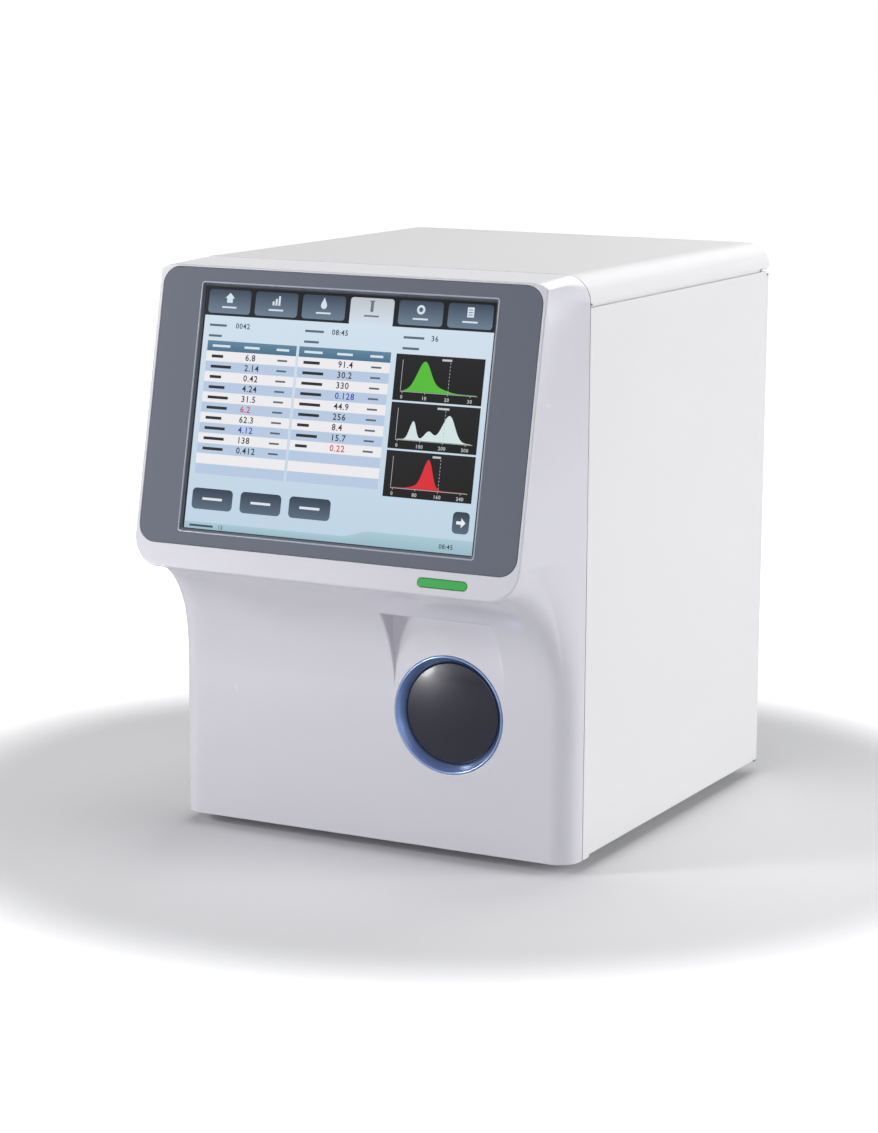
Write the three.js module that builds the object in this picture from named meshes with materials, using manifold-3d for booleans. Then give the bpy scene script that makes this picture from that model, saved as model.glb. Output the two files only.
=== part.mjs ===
// Benchtop hematology analyzer: a tilted touch screen over a round sampling key.
// Millimetres, +Z up, +Y to the back. x = 0 is the middle plane and z = 0 the table.
// While it is modelled, y = 0 is the seam between the front cover and the rear covers.

import * as THREE from 'three';
import { mergeVertices } from 'three/addons/utils/BufferGeometryUtils.js';
import Module from 'manifold-3d';

const wasm = await Module();
wasm.setup();

// Driving dimensions of the housing
const width = 300;
const height = 394;
const bodyDepth = 308;
const footHeight = 8;
const wall = 3;
const panelWall = 2.5;
const sheet = 1.5;

// Clearances: the visible seams, seated pieces, running fits, how far a cutting tool overruns,
// and how far a joined form runs into the one that carries it
const seam = 0.8;
const fit = 0.3;
const running = 0.15;
const overrun = 6;
const sink = 1;

const halfWidth = width / 2;
const radians = THREE.MathUtils.degToRad;

// Front cover: lower face, concave sweep, overhanging head with the tilted screen face
const face = { reach: 18.8, cornerRadius: 16 };
const sweep = { startHeight: 0.2868 * height, endAngle: radians(81.6), steps: 12 };
const head = {
  reach: 88,
  lipHeight: 0.49442 * height,
  topHeight: 0.99543 * height,
  tilt: radians(11.76),
  creaseHalf: 0.952 * halfWidth,
  lipCorner: 20,
};
const faceLong = (head.topHeight - head.lipHeight) / Math.cos(head.tilt);

// The roof rolls over into short skirts, which end at the side panels' top seams
const roof = { rollRadius: 18, rearRadius: 8, skirt: 2.2 };
const sideSeamHeight = height - roof.rollRadius - roof.skirt;
const panelTop = sideSeamHeight - seam / 2;

// Sampling point: the key's axis, and the probe standing before the lower face
const key = { x: 0.39667 * halfWidth, z: 0.2538 * height, radius: 34.4, dome: 2.6, recess: 5.6, plate: 4 };
const alcove = { width: 81, ceiling: 0.4264 * height };
const probe = { y: -30, radius: 0.9, tip: 2, lift: 4 };

// Finishes
const whitePlastic = { color: 0xdedde6, roughness: 0.32, metalness: 0 };
const whitePanel = { color: 0xe9e7e8, roughness: 0.45, metalness: 0 };
const slatePlastic = { color: 0x686e7c, roughness: 0.4, metalness: 0 };
const blackPlastic = { color: 0x1b1c1f, roughness: 0.5, metalness: 0 };
const charcoalGloss = { color: 0x22242b, roughness: 0.12, metalness: 0 };
const blueRing = { color: 0x3f6fb4, roughness: 0.2, metalness: 0.3 };
const greenLens = { color: 0x2faa45, roughness: 0.3, metalness: 0 };
const screenGlass = { color: 0xbcd3e6, roughness: 0.1, metalness: 0 };
const zincSteel = { color: 0xb9bcbf, roughness: 0.4, metalness: 0.9 };
const brightSteel = { color: 0xd2d4d6, roughness: 0.2, metalness: 1 };
const aluminium = { color: 0xc3c6c9, roughness: 0.35, metalness: 0.9 };
const rubber = { color: 0x26262a, roughness: 0.85, metalness: 0 };
const greenBoard = { color: 0x1f6b3f, roughness: 0.5, metalness: 0 };
const clearPlastic = { color: 0xdfe9ee, roughness: 0.1, metalness: 0 };
const naturalPlastic = { color: 0xe8e4d6, roughness: 0.5, metalness: 0 };

// Geometry kit

// One closed mesh with shared corners, no collapsed triangles and its faces pointing out
function closed(geometry) {
  if (!geometry.attributes.normal && !geometry.attributes.uv) return geometry;
  const bare = geometry.clone();
  bare.deleteAttribute('normal');
  bare.deleteAttribute('uv');
  const merged = mergeVertices(bare);
  const corners = merged.index.array;
  const kept = [];
  for (let i = 0; i < corners.length; i += 3) {
    const [a, b, c] = [corners[i], corners[i + 1], corners[i + 2]];
    if (a !== b && b !== c && c !== a) kept.push(a, b, c);
  }
  if (signedVolume(merged.attributes.position, kept) < 0) kept.reverse();
  merged.setIndex(kept);
  return merged;
}

function signedVolume(position, corners) {
  const [a, b, c] = [new THREE.Vector3(), new THREE.Vector3(), new THREE.Vector3()];
  let sum = 0;
  for (let i = 0; i < corners.length; i += 3) {
    a.fromBufferAttribute(position, corners[i]);
    b.fromBufferAttribute(position, corners[i + 1]);
    c.fromBufferAttribute(position, corners[i + 2]);
    sum += a.dot(b.cross(c));
  }
  return sum / 6;
}

function solidOf(geometry) {
  const whole = closed(geometry);
  return new wasm.Manifold(new wasm.Mesh({
    numProp: 3,
    vertProperties: new Float32Array(whole.attributes.position.array),
    triVerts: new Uint32Array(whole.index.array),
  }));
}

function geometryOf(solid) {
  const mesh = solid.getMesh();
  const geometry = new THREE.BufferGeometry();
  geometry.setAttribute('position', new THREE.BufferAttribute(mesh.vertProperties, 3));
  geometry.setIndex(new THREE.BufferAttribute(mesh.triVerts, 1));
  return geometry;
}

function join(...forms) {
  return geometryOf(forms.map(solidOf).reduce((whole, next) => whole.add(next)));
}

function cut(form, ...tools) {
  return geometryOf(tools.map(solidOf).reduce((whole, next) => whole.subtract(next), solidOf(form)));
}

function meet(a, b) {
  return geometryOf(solidOf(a).intersect(solidOf(b)));
}

// Ranges along an axis
const around = (middle, size) => [middle - size / 2, middle + size / 2];
const from = (start, size) => [Math.min(start, start + size), Math.max(start, start + size)];

function block(xs, ys, zs) {
  const geometry = new THREE.BoxGeometry(xs[1] - xs[0], ys[1] - ys[0], zs[1] - zs[0]);
  return geometry.translate((xs[0] + xs[1]) / 2, (ys[0] + ys[1]) / 2, (zs[0] + zs[1]) / 2);
}

// Turns a form made along +Y from y = 0 so that it runs along an axis from a starting point
function aim(geometry, axis, start) {
  if (axis === 'x') geometry.rotateZ(-Math.PI / 2);
  if (axis === 'z') geometry.rotateX(Math.PI / 2);
  return geometry.translate(...start);
}

function rod(axis, start, length, radius, sides = 20, endRadius = radius) {
  const geometry = new THREE.CylinderGeometry(endRadius, radius, length, sides);
  return aim(geometry.translate(0, length / 2, 0), axis, start);
}

// A turned form: its profile is a list of [radius, distance along the axis]
function turned(axis, start, profile, sides = 24) {
  const points = profile.map(([radius, along]) => new THREE.Vector2(radius, along));
  return aim(new THREE.LatheGeometry(points, sides), axis, start);
}

function roundedRect(wide, high, radius, middle = [0, 0]) {
  const [x, y] = [middle[0] - wide / 2, middle[1] - high / 2];
  const shape = new THREE.Shape();
  shape.moveTo(x + radius, y);
  shape.lineTo(x + wide - radius, y);
  shape.absarc(x + wide - radius, y + radius, radius, -Math.PI / 2, 0);
  shape.lineTo(x + wide, y + high - radius);
  shape.absarc(x + wide - radius, y + high - radius, radius, 0, Math.PI / 2);
  shape.lineTo(x + radius, y + high);
  shape.absarc(x + radius, y + high - radius, radius, Math.PI / 2, Math.PI);
  shape.lineTo(x, y + radius);
  shape.absarc(x + radius, y + radius, radius, Math.PI, Math.PI * 3 / 2);
  return shape;
}

// Extrudes a shape drawn in the x-z plane along +Y, or one drawn in the y-z plane along +X
function slab(shape, start, depth, axis = 'y', curveSegments = 5) {
  const geometry = new THREE.ExtrudeGeometry(shape, { depth, bevelEnabled: false, curveSegments });
  if (axis === 'y') return geometry.rotateX(Math.PI / 2).translate(0, start + depth, 0);
  if (axis === 'x') return geometry.rotateX(Math.PI / 2).rotateZ(Math.PI / 2).translate(start, 0, 0);
  return geometry.translate(0, 0, start);
}

// A skin through rings of equal point counts, closed at both ends by a fan
function loft(rings) {
  const count = rings[0].length;
  const points = rings.flat();
  const corners = [];
  for (let r = 0; r + 1 < rings.length; r++) {
    for (let i = 0; i < count; i++) {
      const [a, b] = [r * count + i, r * count + (i + 1) % count];
      corners.push(a, b, b + count, a, b + count, a + count);
    }
  }
  for (const [ring, flip] of [[0, true], [rings.length - 1, false]]) {
    const middle = points.push(average(rings[ring])) - 1;
    for (let i = 0; i < count; i++) {
      const [a, b] = [ring * count + i, ring * count + (i + 1) % count];
      corners.push(...(flip ? [middle, b, a] : [middle, a, b]));
    }
  }
  const geometry = new THREE.BufferGeometry().setFromPoints(points);
  if (signedVolume(geometry.attributes.position, corners) < 0) corners.reverse();
  geometry.setIndex(corners);
  return geometry;
}

function average(points) {
  const sum = points.reduce((total, point) => total.add(point), new THREE.Vector3());
  return sum.divideScalar(points.length);
}

// A round tube or wire along a smooth curve
function tube(curve, radius, steps, sides = 8) {
  const section = new THREE.Shape();
  for (let i = 0; i < sides; i++) {
    const turn = 2 * Math.PI * i / sides;
    const spot = [radius * Math.cos(turn), radius * Math.sin(turn)];
    if (i === 0) section.moveTo(...spot);
    else section.lineTo(...spot);
  }
  return new THREE.ExtrudeGeometry(section, { steps, extrudePath: curve, bevelEnabled: false });
}

// Assembly
const analyzer = new THREE.Group();
const headFrame = new THREE.Group();
headFrame.position.set(0, -head.reach, head.lipHeight);
headFrame.rotation.x = -head.tilt;
analyzer.add(headFrame);

function addPiece(name, form, finish, parent = analyzer) {
  const geometry = closed(form).clone();
  geometry.computeVertexNormals();
  const mesh = new THREE.Mesh(geometry, new THREE.MeshStandardMaterial(finish));
  mesh.name = name;
  parent.add(mesh);
}

// Puts a form drawn in the screen face's own axes into the housing's axes:
// x across, y inward from the face, z up along the face from the lip's lower edge
function onHead(form) {
  headFrame.updateMatrix();
  return closed(form).clone().applyMatrix4(headFrame.matrix);
}

// Front cover: side-on profiles that change across the width, skinned and hollowed

// How far an arc has fallen away at a distance past the point where it starts
function arcDrop(distance, start, radius) {
  const along = Math.min(Math.max(distance - start, 0), radius);
  return radius - Math.sqrt(radius ** 2 - along ** 2);
}

const lowerFaceY = -face.reach;
const headY = (z) => -head.reach + (z - head.lipHeight) * Math.tan(head.tilt);

// One profile of the cover at a distance out from the middle plane. The inset makes its inner skin.
// The lower corners are rounded, the sweep runs out to the lip, and past the crease the head's
// sides run back to the seam along a curve.
function coverProfile(out, inset) {
  const land = face.reach - face.cornerRadius;
  const faceY = lowerFaceY + arcDrop(out, halfWidth - face.cornerRadius, face.cornerRadius) + inset;
  const past = Math.max(out - head.creaseHalf, 0) / (halfWidth - head.creaseHalf);
  const reachShare = Math.sqrt(1 - past);
  const skinY = (z) => -land + (headY(z) + land) * reachShare + inset;
  const lipRise = arcDrop(Math.min(out, head.creaseHalf), head.creaseHalf - head.lipCorner, head.lipCorner);
  const lipZ = head.lipHeight + lipRise + inset;
  const roll = arcDrop(out, halfWidth - roof.rollRadius, roof.rollRadius);
  const drop = (faceY - skinY(lipZ)) / (1 - Math.cos(sweep.endAngle));
  const rise = (lipZ - sweep.startHeight) / Math.sin(sweep.endAngle);
  const bottom = footHeight + inset;
  const back = inset > 0 ? overrun : 0;
  const frontTop = head.topHeight - roll - inset;
  const backTop = height - roll - inset;

  const profile = [[back, bottom], [faceY, bottom], [faceY, sweep.startHeight]];
  for (let step = 1; step <= sweep.steps; step++) {
    const turn = sweep.endAngle * step / sweep.steps;
    profile.push([faceY - drop * (1 - Math.cos(turn)), sweep.startHeight + rise * Math.sin(turn)]);
  }
  profile.push([skinY(frontTop), frontTop], [back, backTop]);
  return profile;
}

function coverStations() {
  const corners = [[head.creaseHalf, head.lipCorner, 4], [halfWidth, face.cornerRadius, 5]];
  const outs = corners.flatMap(([end, radius, steps]) => Array.from({ length: steps + 1 },
    (_, step) => end - radius + radius * Math.sin(Math.PI / 2 * step / steps)));
  outs.sort((a, b) => a - b);
  return outs.filter((out, i) => i === 0 || out - outs[i - 1] > fit);
}

function coverSkin(inset) {
  const outs = coverStations();
  const sides = [...outs.map((out) => [-1, out]).reverse(), ...outs.map((out) => [1, out])];
  return loft(sides.map(([side, out]) => coverProfile(out, inset)
    .map(([y, z]) => new THREE.Vector3(side * (out - inset), y, z))));
}

// The sampling alcove: a square-cut channel up into the sweep above the key
function alcoveSpace(grow) {
  return block(around(key.x, alcove.width + 2 * grow),
    [-head.reach - overrun, lowerFaceY + grow],
    [sweep.startHeight - overrun, alcove.ceiling + grow]);
}

// Screen face, in its own axes
const touch = { wide: 0.76667 * width, low: 20, top: 5.63, thick: 1.8, corner: 1 };
const touchHigh = faceLong - touch.low - touch.top;
const screenRise = touch.low + touchHigh / 2;
const screen = { wide: 0.73 * width, edge: 5.5, corner: 1.5, bevel: 1.6 };
const bezel = { wide: 0.93333 * width, edge: 3.75, corner: 12, thick: 2.2, raise: 0.25, pocket: 2.5 };
const bezelHigh = touchHigh + 2 * bezel.edge;
const seat = { rim: 6, depth: 7, margin: 0.5 };
const boss = { radius: 4, outX: 0.42667 * width, low: 6, high: 12, end: 12.6 };
const light = { x: 0.298 * width, rise: 8, wide: 35.3, high: 5.6, depth: 5, proud: 0.2 };
const ring = { radius: 40, neck: 38, bore: 34.8, lip: 1.2, land: 1, proud: 0.6, depth: 9.5 };
const probeHole = { radius: 5 };

function screenSlab(wide, high, corner, start, depth, rise = screenRise) {
  return slab(roundedRect(wide, high, corner, [0, rise]), start, depth);
}

function frontCover() {
  const seatHole = (start, depth) =>
    screenSlab(touch.wide + 2 * seat.margin, touchHigh + 2 * seat.margin, touch.corner, start, depth);
  const seatRing = cut(
    screenSlab(touch.wide + 2 * seat.rim, touchHigh + 2 * seat.rim, touch.corner + seat.rim,
      wall / 2, seat.depth - wall / 2),
    seatHole(0, seat.depth + overrun));
  const bosses = [-1, 1].flatMap((side) => [boss.low, touchHigh - boss.high].map((rise) =>
    rod('y', [side * boss.outX, wall / 2, touch.low + rise], boss.end - wall / 2, boss.radius, 10)));
  const hollow = cut(coverSkin(wall), alcoveSpace(wall));
  const shell = join(cut(coverSkin(0), hollow), onHead(seatRing), ...bosses.map(onHead));
  const bezelPocket = screenSlab(bezel.wide + 2 * fit, bezelHigh + 2 * fit, bezel.corner + fit,
    -overrun, overrun + bezel.pocket, screenRise + bezel.raise);
  const panelOpening = seatHole(-overrun, overrun + seat.depth);
  const lightSlot = slab(roundedRect(light.wide + 2 * fit, light.high + 2 * fit, light.high / 2 + fit,
    [light.x, light.rise]), -overrun, overrun + light.depth);
  const before = [key.x, lowerFaceY - overrun, key.z];
  const keySeat = rod('y', before, overrun + ring.lip + fit, ring.radius + fit, 48);
  const keyHole = rod('y', before, 2 * overrun + wall, ring.neck + fit, 48);
  const needleHole = rod('z', [key.x, probe.y, alcove.ceiling - overrun], 2 * overrun, probeHole.radius, 16);
  return cut(shell, alcoveSpace(0), onHead(bezelPocket), onHead(panelOpening), onHead(lightSlot),
    keySeat, keyHole, needleHole);
}

addPiece('front_cover', frontCover(), whitePlastic);

// Screen group: bezel plate, touch panel, display module, its bracket and drive board
const lcd = { thick: 8, cornerNotch: 6 };
const bracket = { wide: 0.88 * width, slotWide: 0.23333 * width, slotHigh: 0.34091 * touchHigh,
  slotX: 0.20667 * width };
const driveBoard = { x: -bracket.slotX, wide: 0.28667 * width, high: 0.36364 * touchHigh, thick: 1.6,
  standoff: 3, postRadius: 2.5 };
const driveChip = { wide: 14, high: 14, thick: 2.4 };
const socket = { wide: 30, high: 6, thick: 5 };

function screenBezel() {
  const plate = screenSlab(bezel.wide, bezelHigh, bezel.corner, 0, bezel.thick, screenRise + bezel.raise);
  const high = touchHigh - 2 * screen.edge;
  const ringOf = (inset, depth) => roundedRect(screen.wide - inset, high - inset, screen.corner,
    [0, screenRise]).getPoints(4).slice(1).map((p) => new THREE.Vector3(p.x, depth, p.y));
  const slope = 2 * screen.bevel / bezel.thick;
  const window = loft([ringOf(-slope * overrun, -overrun), ringOf(slope * (bezel.thick + overrun),
    bezel.thick + overrun)]);
  return cut(plate, window);
}

const touchBack = bezel.pocket + touch.thick;
const lcdBack = touchBack + fit + lcd.thick;
const bracketBack = lcdBack + fit + sheet;

function lcdModule() {
  const body = screenSlab(touch.wide, touchHigh, touch.corner, touchBack + fit, lcd.thick);
  const notches = [-1, 1].flatMap((sx) => [-1, 1].map((sz) =>
    block(around(sx * touch.wide / 2, 2 * lcd.cornerNotch), [lcdBack - lcd.thick / 2, lcdBack + overrun],
      around(screenRise + sz * touchHigh / 2, 2 * lcd.cornerNotch))));
  return cut(body, ...notches);
}

function displayBracket() {
  const plate = screenSlab(bracket.wide, touchHigh, boss.radius, lcdBack + fit, sheet);
  const slots = [-1, 1].map((side) => slab(roundedRect(bracket.slotWide, bracket.slotHigh, boss.radius,
    [side * bracket.slotX, screenRise]), lcdBack - overrun, 3 * overrun));
  return cut(plate, ...slots);
}

function displayBoard() {
  const start = bracketBack + fit;
  const boardStart = start + driveBoard.standoff;
  const board = block(around(driveBoard.x, driveBoard.wide), from(boardStart, driveBoard.thick),
    around(screenRise, driveBoard.high));
  const spots = [-1, 1].flatMap((sx) => [-1, 1].map((sz) => [
    driveBoard.x + sx * (driveBoard.wide / 2 - driveBoard.postRadius),
    screenRise + sz * (driveBoard.high / 2 - driveBoard.postRadius)]));
  const posts = spots.map(([x, z]) => rod('y', [x, start, z], driveBoard.standoff + driveBoard.thick / 2,
    driveBoard.postRadius, 8));
  const top = boardStart + driveBoard.thick / 2;
  const chips = [-1, 1].map((side) => block(around(driveBoard.x + side * driveBoard.wide / 4, driveChip.wide),
    from(top, driveBoard.thick / 2 + driveChip.thick), around(screenRise, driveChip.high)));
  const plug = block(around(driveBoard.x, socket.wide), from(top, driveBoard.thick / 2 + socket.thick),
    around(screenRise - driveBoard.high / 3, socket.high));
  return join(board, ...posts, ...chips, plug);
}

const lightBoard = { margin: 1.4, thick: 1.6, ledHigh: 1, ledWide: 3, ledCount: 4 };

function statusLightBoard() {
  const start = light.depth + fit + lightBoard.ledHigh;
  const board = block(around(light.x, light.wide), from(start, lightBoard.thick),
    around(light.rise + lightBoard.margin, light.high));
  const leds = Array.from({ length: lightBoard.ledCount }, (_, i) =>
    block(around(light.x + light.wide * ((i + 0.5) / lightBoard.ledCount - 0.5), lightBoard.ledWide),
      [light.depth + fit, start + lightBoard.thick / 2], around(light.rise, lightBoard.ledWide)));
  return join(board, ...leds);
}

addPiece('screen_bezel', screenBezel(), slatePlastic, headFrame);
addPiece('touch_panel', screenSlab(touch.wide, touchHigh, touch.corner, bezel.pocket, touch.thick),
  screenGlass, headFrame);
addPiece('lcd_module', lcdModule(), zincSteel, headFrame);
addPiece('display_bracket', displayBracket(), zincSteel, headFrame);
addPiece('display_board', displayBoard(), greenBoard, headFrame);
addPiece('status_light', slab(roundedRect(light.wide, light.high, light.high / 2, [light.x, light.rise]),
  -light.proud, light.proud + light.depth), greenLens, headFrame);
addPiece('status_light_board', statusLightBoard(), greenBoard, headFrame);

// Sampling key: a wide domed button in a ring, on a sprung stem with a switch behind it
const stem = { radius: 5, reach: 21.2 };
const housing = { thick: 4.4, backStart: 18.5, back: 2, postRadius: 2.5, postX: 14, postEnd: 30.7 };
const spring = { coil: 8.5, wire: 0.7, turns: 3, start: 10.6, end: 14.8, stepsPerTurn: 8 };
const microSwitch = { wide: 13, high: 6.5, start: 24.2, deep: 6.5, boardWide: 38, boardHigh: 16, board: 1.6 };

function keyRing() {
  return turned('y', [key.x, lowerFaceY, key.z], [
    [ring.radius, ring.lip], [ring.radius, -ring.proud], [ring.radius - ring.land, -ring.proud],
    [ring.bore, key.recess], [ring.bore, ring.depth], [ring.neck, ring.depth], [ring.neck, ring.lip],
    [ring.radius, ring.lip]], 48);
}

function sampleKey() {
  const front = key.recess - key.dome;
  const dome = Array.from({ length: 5 }, (_, i) => [key.radius * i / 4, front + key.dome * (i / 4) ** 2]);
  const back = key.recess + key.plate;
  return turned('y', [key.x, lowerFaceY, key.z],
    [...dome, [key.radius, back], [stem.radius, back], [stem.radius, stem.reach], [0, stem.reach]], 40);
}

function keyHousing() {
  const start = wall + fit;
  const end = housing.backStart + housing.back;
  const bore = ring.neck + 2 * fit;
  const radius = bore + housing.thick;
  const cup = turned('y', [key.x, lowerFaceY, key.z], [[radius, start], [radius, end],
    [stem.radius + running, end], [stem.radius + running, housing.backStart], [bore, housing.backStart],
    [bore, start], [radius, start]], 36);
  const posts = [-1, 1].map((side) => rod('y',
    [key.x + side * housing.postX, lowerFaceY + housing.backStart + housing.back / 2, key.z],
    housing.postEnd - housing.backStart - housing.back / 2, housing.postRadius, 8));
  return join(cup, ...posts);
}

class HelixCurve extends THREE.Curve {
  getPoint(share) {
    const turn = 2 * Math.PI * spring.turns * share;
    const along = spring.start + (spring.end - spring.start) * share;
    return new THREE.Vector3(key.x + spring.coil * Math.cos(turn), lowerFaceY + along,
      key.z + spring.coil * Math.sin(turn));
  }
}

function keySwitch() {
  const body = block(around(key.x, microSwitch.wide), from(lowerFaceY + microSwitch.start, microSwitch.deep),
    around(key.z, microSwitch.high));
  const boardStart = lowerFaceY + housing.postEnd + fit;
  const board = block(around(key.x, microSwitch.boardWide), from(boardStart, microSwitch.board),
    around(key.z, microSwitch.boardHigh));
  const neck = block(around(key.x, microSwitch.wide / 2), [boardStart - microSwitch.board, boardStart
    + microSwitch.board / 2], around(key.z, microSwitch.high / 2));
  return join(body, neck, board);
}

addPiece('key_ring', keyRing(), blueRing);
addPiece('sample_key', sampleKey(), charcoalGloss);
addPiece('key_housing', keyHousing(), blackPlastic);
addPiece('key_spring', tube(new HelixCurve(), spring.wire, spring.turns * spring.stepsPerTurn, 6),
  brightSteel);
addPiece('key_switch', keySwitch(), greenBoard);

// Chassis: a sheet tray on four feet, a front frame, an upright partition and the rear panel
const trayTop = footHeight + sheet;
const floorZ = trayTop + fit;

// How far in from the housing's sides, back and top seam the inner pieces stop
const sideInset = { tray: 7, foot: 32, catch: 22, supply: 10, inlet: 38 };
const backInset = { tray: 4, flange: 6, panel: 3.5, partition: 5, foot: 28, strip: 12, rim: 9 };
const topInset = { frame: 5.8, partition: 7.8, ledge: 3.6, strip: 9.8, rim: 13.8 };

const tray = { half: halfWidth - sideInset.tray, front: 1, back: bodyDepth - backInset.tray, flange: 12,
  flangeFront: 3.2, flangeBack: bodyDepth - backInset.flange };
const foot = { x: halfWidth - sideInset.foot, front: 28, back: bodyDepth - backInset.foot, radius: 11,
  topRadius: 9.5, edge: 1, stud: 3, studHigh: 4 };
const frame = { front: 1.1, top: sideSeamHeight - topInset.frame, openHalf: halfWidth - sideInset.foot,
  below: 50, openHigh: 0.8883 * height, corner: 8 };
const unitReach = 47.5;
const partition = { x: key.x - unitReach, front: 3, back: bodyDepth - backInset.partition,
  top: sideSeamHeight - topInset.partition, flange: 14 };
const unitX = partition.x + sheet + fit;
const slots = { count: 6, long: 40, wide: 4, pitch: 11, frontY: 60, backY: 0.7468 * bodyDepth };
const knuckle = 2.6;
const hinge = { x: halfWidth - knuckle, y: bodyDepth - knuckle, pin: 1.15, bore: 1.3, pinLong: 9, tab: 1.9 };
const rear = { front: bodyDepth - backInset.panel, half: hinge.x - knuckle - fit,
  ledge: sideSeamHeight - topInset.ledge };

function footSpots() {
  return [-foot.x, foot.x].flatMap((x) => [foot.front, foot.back].map((y) => [x, y]));
}

function ventSlots(y, x) {
  return Array.from({ length: slots.count }, (_, i) => block(around(x, slots.long),
    around(y + (i - (slots.count - 1) / 2) * slots.pitch, slots.wide), [0, height]));
}

function hingeTab(zs) {
  return block([tray.half - hinge.tab, hinge.x + hinge.tab], around(hinge.y, 2 * hinge.tab), zs);
}

function basePlate() {
  const floor = block(around(0, 2 * tray.half), [tray.front, tray.back], [footHeight, trayTop]);
  const flanges = [-1, 1].map((side) => block(from(side * tray.half, -side * sheet),
    [tray.flangeFront, tray.flangeBack], [footHeight, footHeight + tray.flange]));
  const pin = rod('z', [hinge.x, hinge.y, footHeight + sheet / 2], hinge.pinLong, hinge.pin, 10);
  const studHoles = footSpots().map(([x, y]) => rod('z', [x, y, 0], height, foot.stud + fit, 12));
  const vents = [slots.frontY, slots.backY].flatMap((y) => ventSlots(y, -foot.x / 2));
  return cut(join(floor, ...flanges, hingeTab([footHeight, trayTop]), pin), ...studHoles, ...vents);
}

function rubberFoot(x, y) {
  const top = footHeight - fit;
  return turned('z', [x, y, 0], [[0, 0], [foot.radius - foot.edge, 0], [foot.radius, foot.edge],
    [foot.topRadius, top], [foot.stud, top], [foot.stud, top + foot.studHigh], [0, top + foot.studHigh]], 20);
}

function frontFrame() {
  const plate = block(around(0, 2 * tray.half), from(frame.front, sheet), [floorZ, frame.top]);
  const openLow = key.z - frame.below;
  const opening = slab(roundedRect(2 * frame.openHalf, frame.openHigh - openLow, frame.corner,
    [0, (frame.openHigh + openLow) / 2]), frame.front - overrun, 3 * overrun);
  return cut(plate, opening);
}

function centerPartition() {
  const sideways = [partition.front, partition.back];
  const web = block(from(partition.x, sheet), sideways, [floorZ, partition.top]);
  const flanges = [floorZ, partition.top - sheet].map((z) =>
    block(from(partition.x, partition.flange), sideways, from(z, sheet)));
  const windows = [passage.low, passage.high].map((z) => slab(roundedRect(passage.wide, passage.tall,
    passage.corner, [passage.y, z]), partition.x - overrun, 3 * overrun, 'x'));
  const shaftHole = rod('x', [partition.x - overrun, travel.motorY, pulleyZ], 3 * overrun,
    travel.shaft + 2 * fit, 12);
  return cut(join(web, ...flanges), ...windows, shaftHole);
}

function rearPanel() {
  const plate = block(around(0, 2 * rear.half), from(rear.front, sheet), [floorZ, panelTop]);
  const pinLow = rear.ledge + sheet / 2 - hinge.pinLong;
  const pin = rod('z', [hinge.x, hinge.y, pinLow], hinge.pinLong, hinge.pin, 10);
  const reach = 3 * overrun;
  const hole = (spot, wide, high, corner) => slab(roundedRect(wide + 2 * fit, high + 2 * fit, corner,
    [spot.x, spot.z]), rear.front - overrun, reach);
  return cut(join(plate, hingeTab(from(rear.ledge, sheet)), pin),
    rod('y', [fan.x, rear.front - overrun, fan.z], reach, fan.duct, 28),
    hole(inlet, inlet.wide, inlet.high, fit),
    hole(rocker, rocker.wide, rocker.high, fit),
    hole(ports, ports.wide, ports.high, ports.corner),
    hole(sockets, sockets.wide, sockets.high, fit));
}

// Sampling unit: the probe rides on a carriage that travels back over the baths on a rail
const plate = { thick: 2, front: -32, back: 0.4545 * bodyDepth, low: 0.6599 * height, high: 0.8579 * height,
  corner: 6 };
const rail = { wide: 7, tall: 8, low: 0.7513 * height, front: -28, backShort: 4 };
const travel = { motorY: 0.4156 * bodyDepth, idlerY: -20, drop: 24, pulley: 8, flange: 9.6, edge: 1,
  shaft: 2.5, reach: 13.2, belt: 4, beltThick: 1 };
const passage = { y: 0.1299 * bodyDepth, low: 0.203 * height, high: 0.5203 * height, wide: 60, tall: 40,
  corner: 8 };
const carriage = { front: -22, back: 10, gap: 1.2, deep: 17, above: 8, plate: 2 };
const tower = { front: -36, back: -2, top: 0.8122 * height, rise: 20, beyond: 15.5, stripFront: -30,
  stripBack: 2 };
const lift = { aside: 0.5, guideAside: 15.5, y: -14, radius: 3, neck: 2, neckLong: 6, motor: 28,
  motorHigh: 28 };
const holder = { front: -36, back: -8, leftOf: 21.5, rightOf: 7.5, low: 0.6802 * height, high: 16 };
const wipe = { size: 16, high: 15, nozzle: 1.5, nozzleLong: 5 };
const probeHub = { radius: 2.5, high: 7 };

const plateFace = unitX + plate.thick;
const railX = plateFace + fit;
const railTop = rail.low + rail.tall;
const pulleyZ = rail.low - travel.drop;
const beltX = unitX + travel.reach;
const carriageX = plateFace + carriage.gap;
const towerX = carriageX + carriage.deep - sink;
const towerLow = alcove.ceiling + tower.rise;
const liftX = key.x - lift.aside;
const guideX = key.x - lift.guideAside;
const holderTop = holder.low + holder.high;

function samplingPlate() {
  const sheetForm = slab(roundedRect(plate.back - plate.front, plate.high - plate.low, plate.corner,
    [(plate.back + plate.front) / 2, (plate.high + plate.low) / 2]), unitX, plate.thick, 'x');
  const stud = rod('x', [unitX + plate.thick / 2, travel.idlerY, pulleyZ],
    beltX + travel.belt - unitX, travel.shaft, 12);
  const shaftHole = rod('x', [unitX - overrun, travel.motorY, pulleyZ], 3 * overrun, travel.shaft + fit, 12);
  return cut(join(sheetForm, stud), shaftHole);
}

function travelRail() {
  return block(from(railX, rail.wide), [rail.front, plate.back - rail.backShort], [rail.low, railTop]);
}

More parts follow.
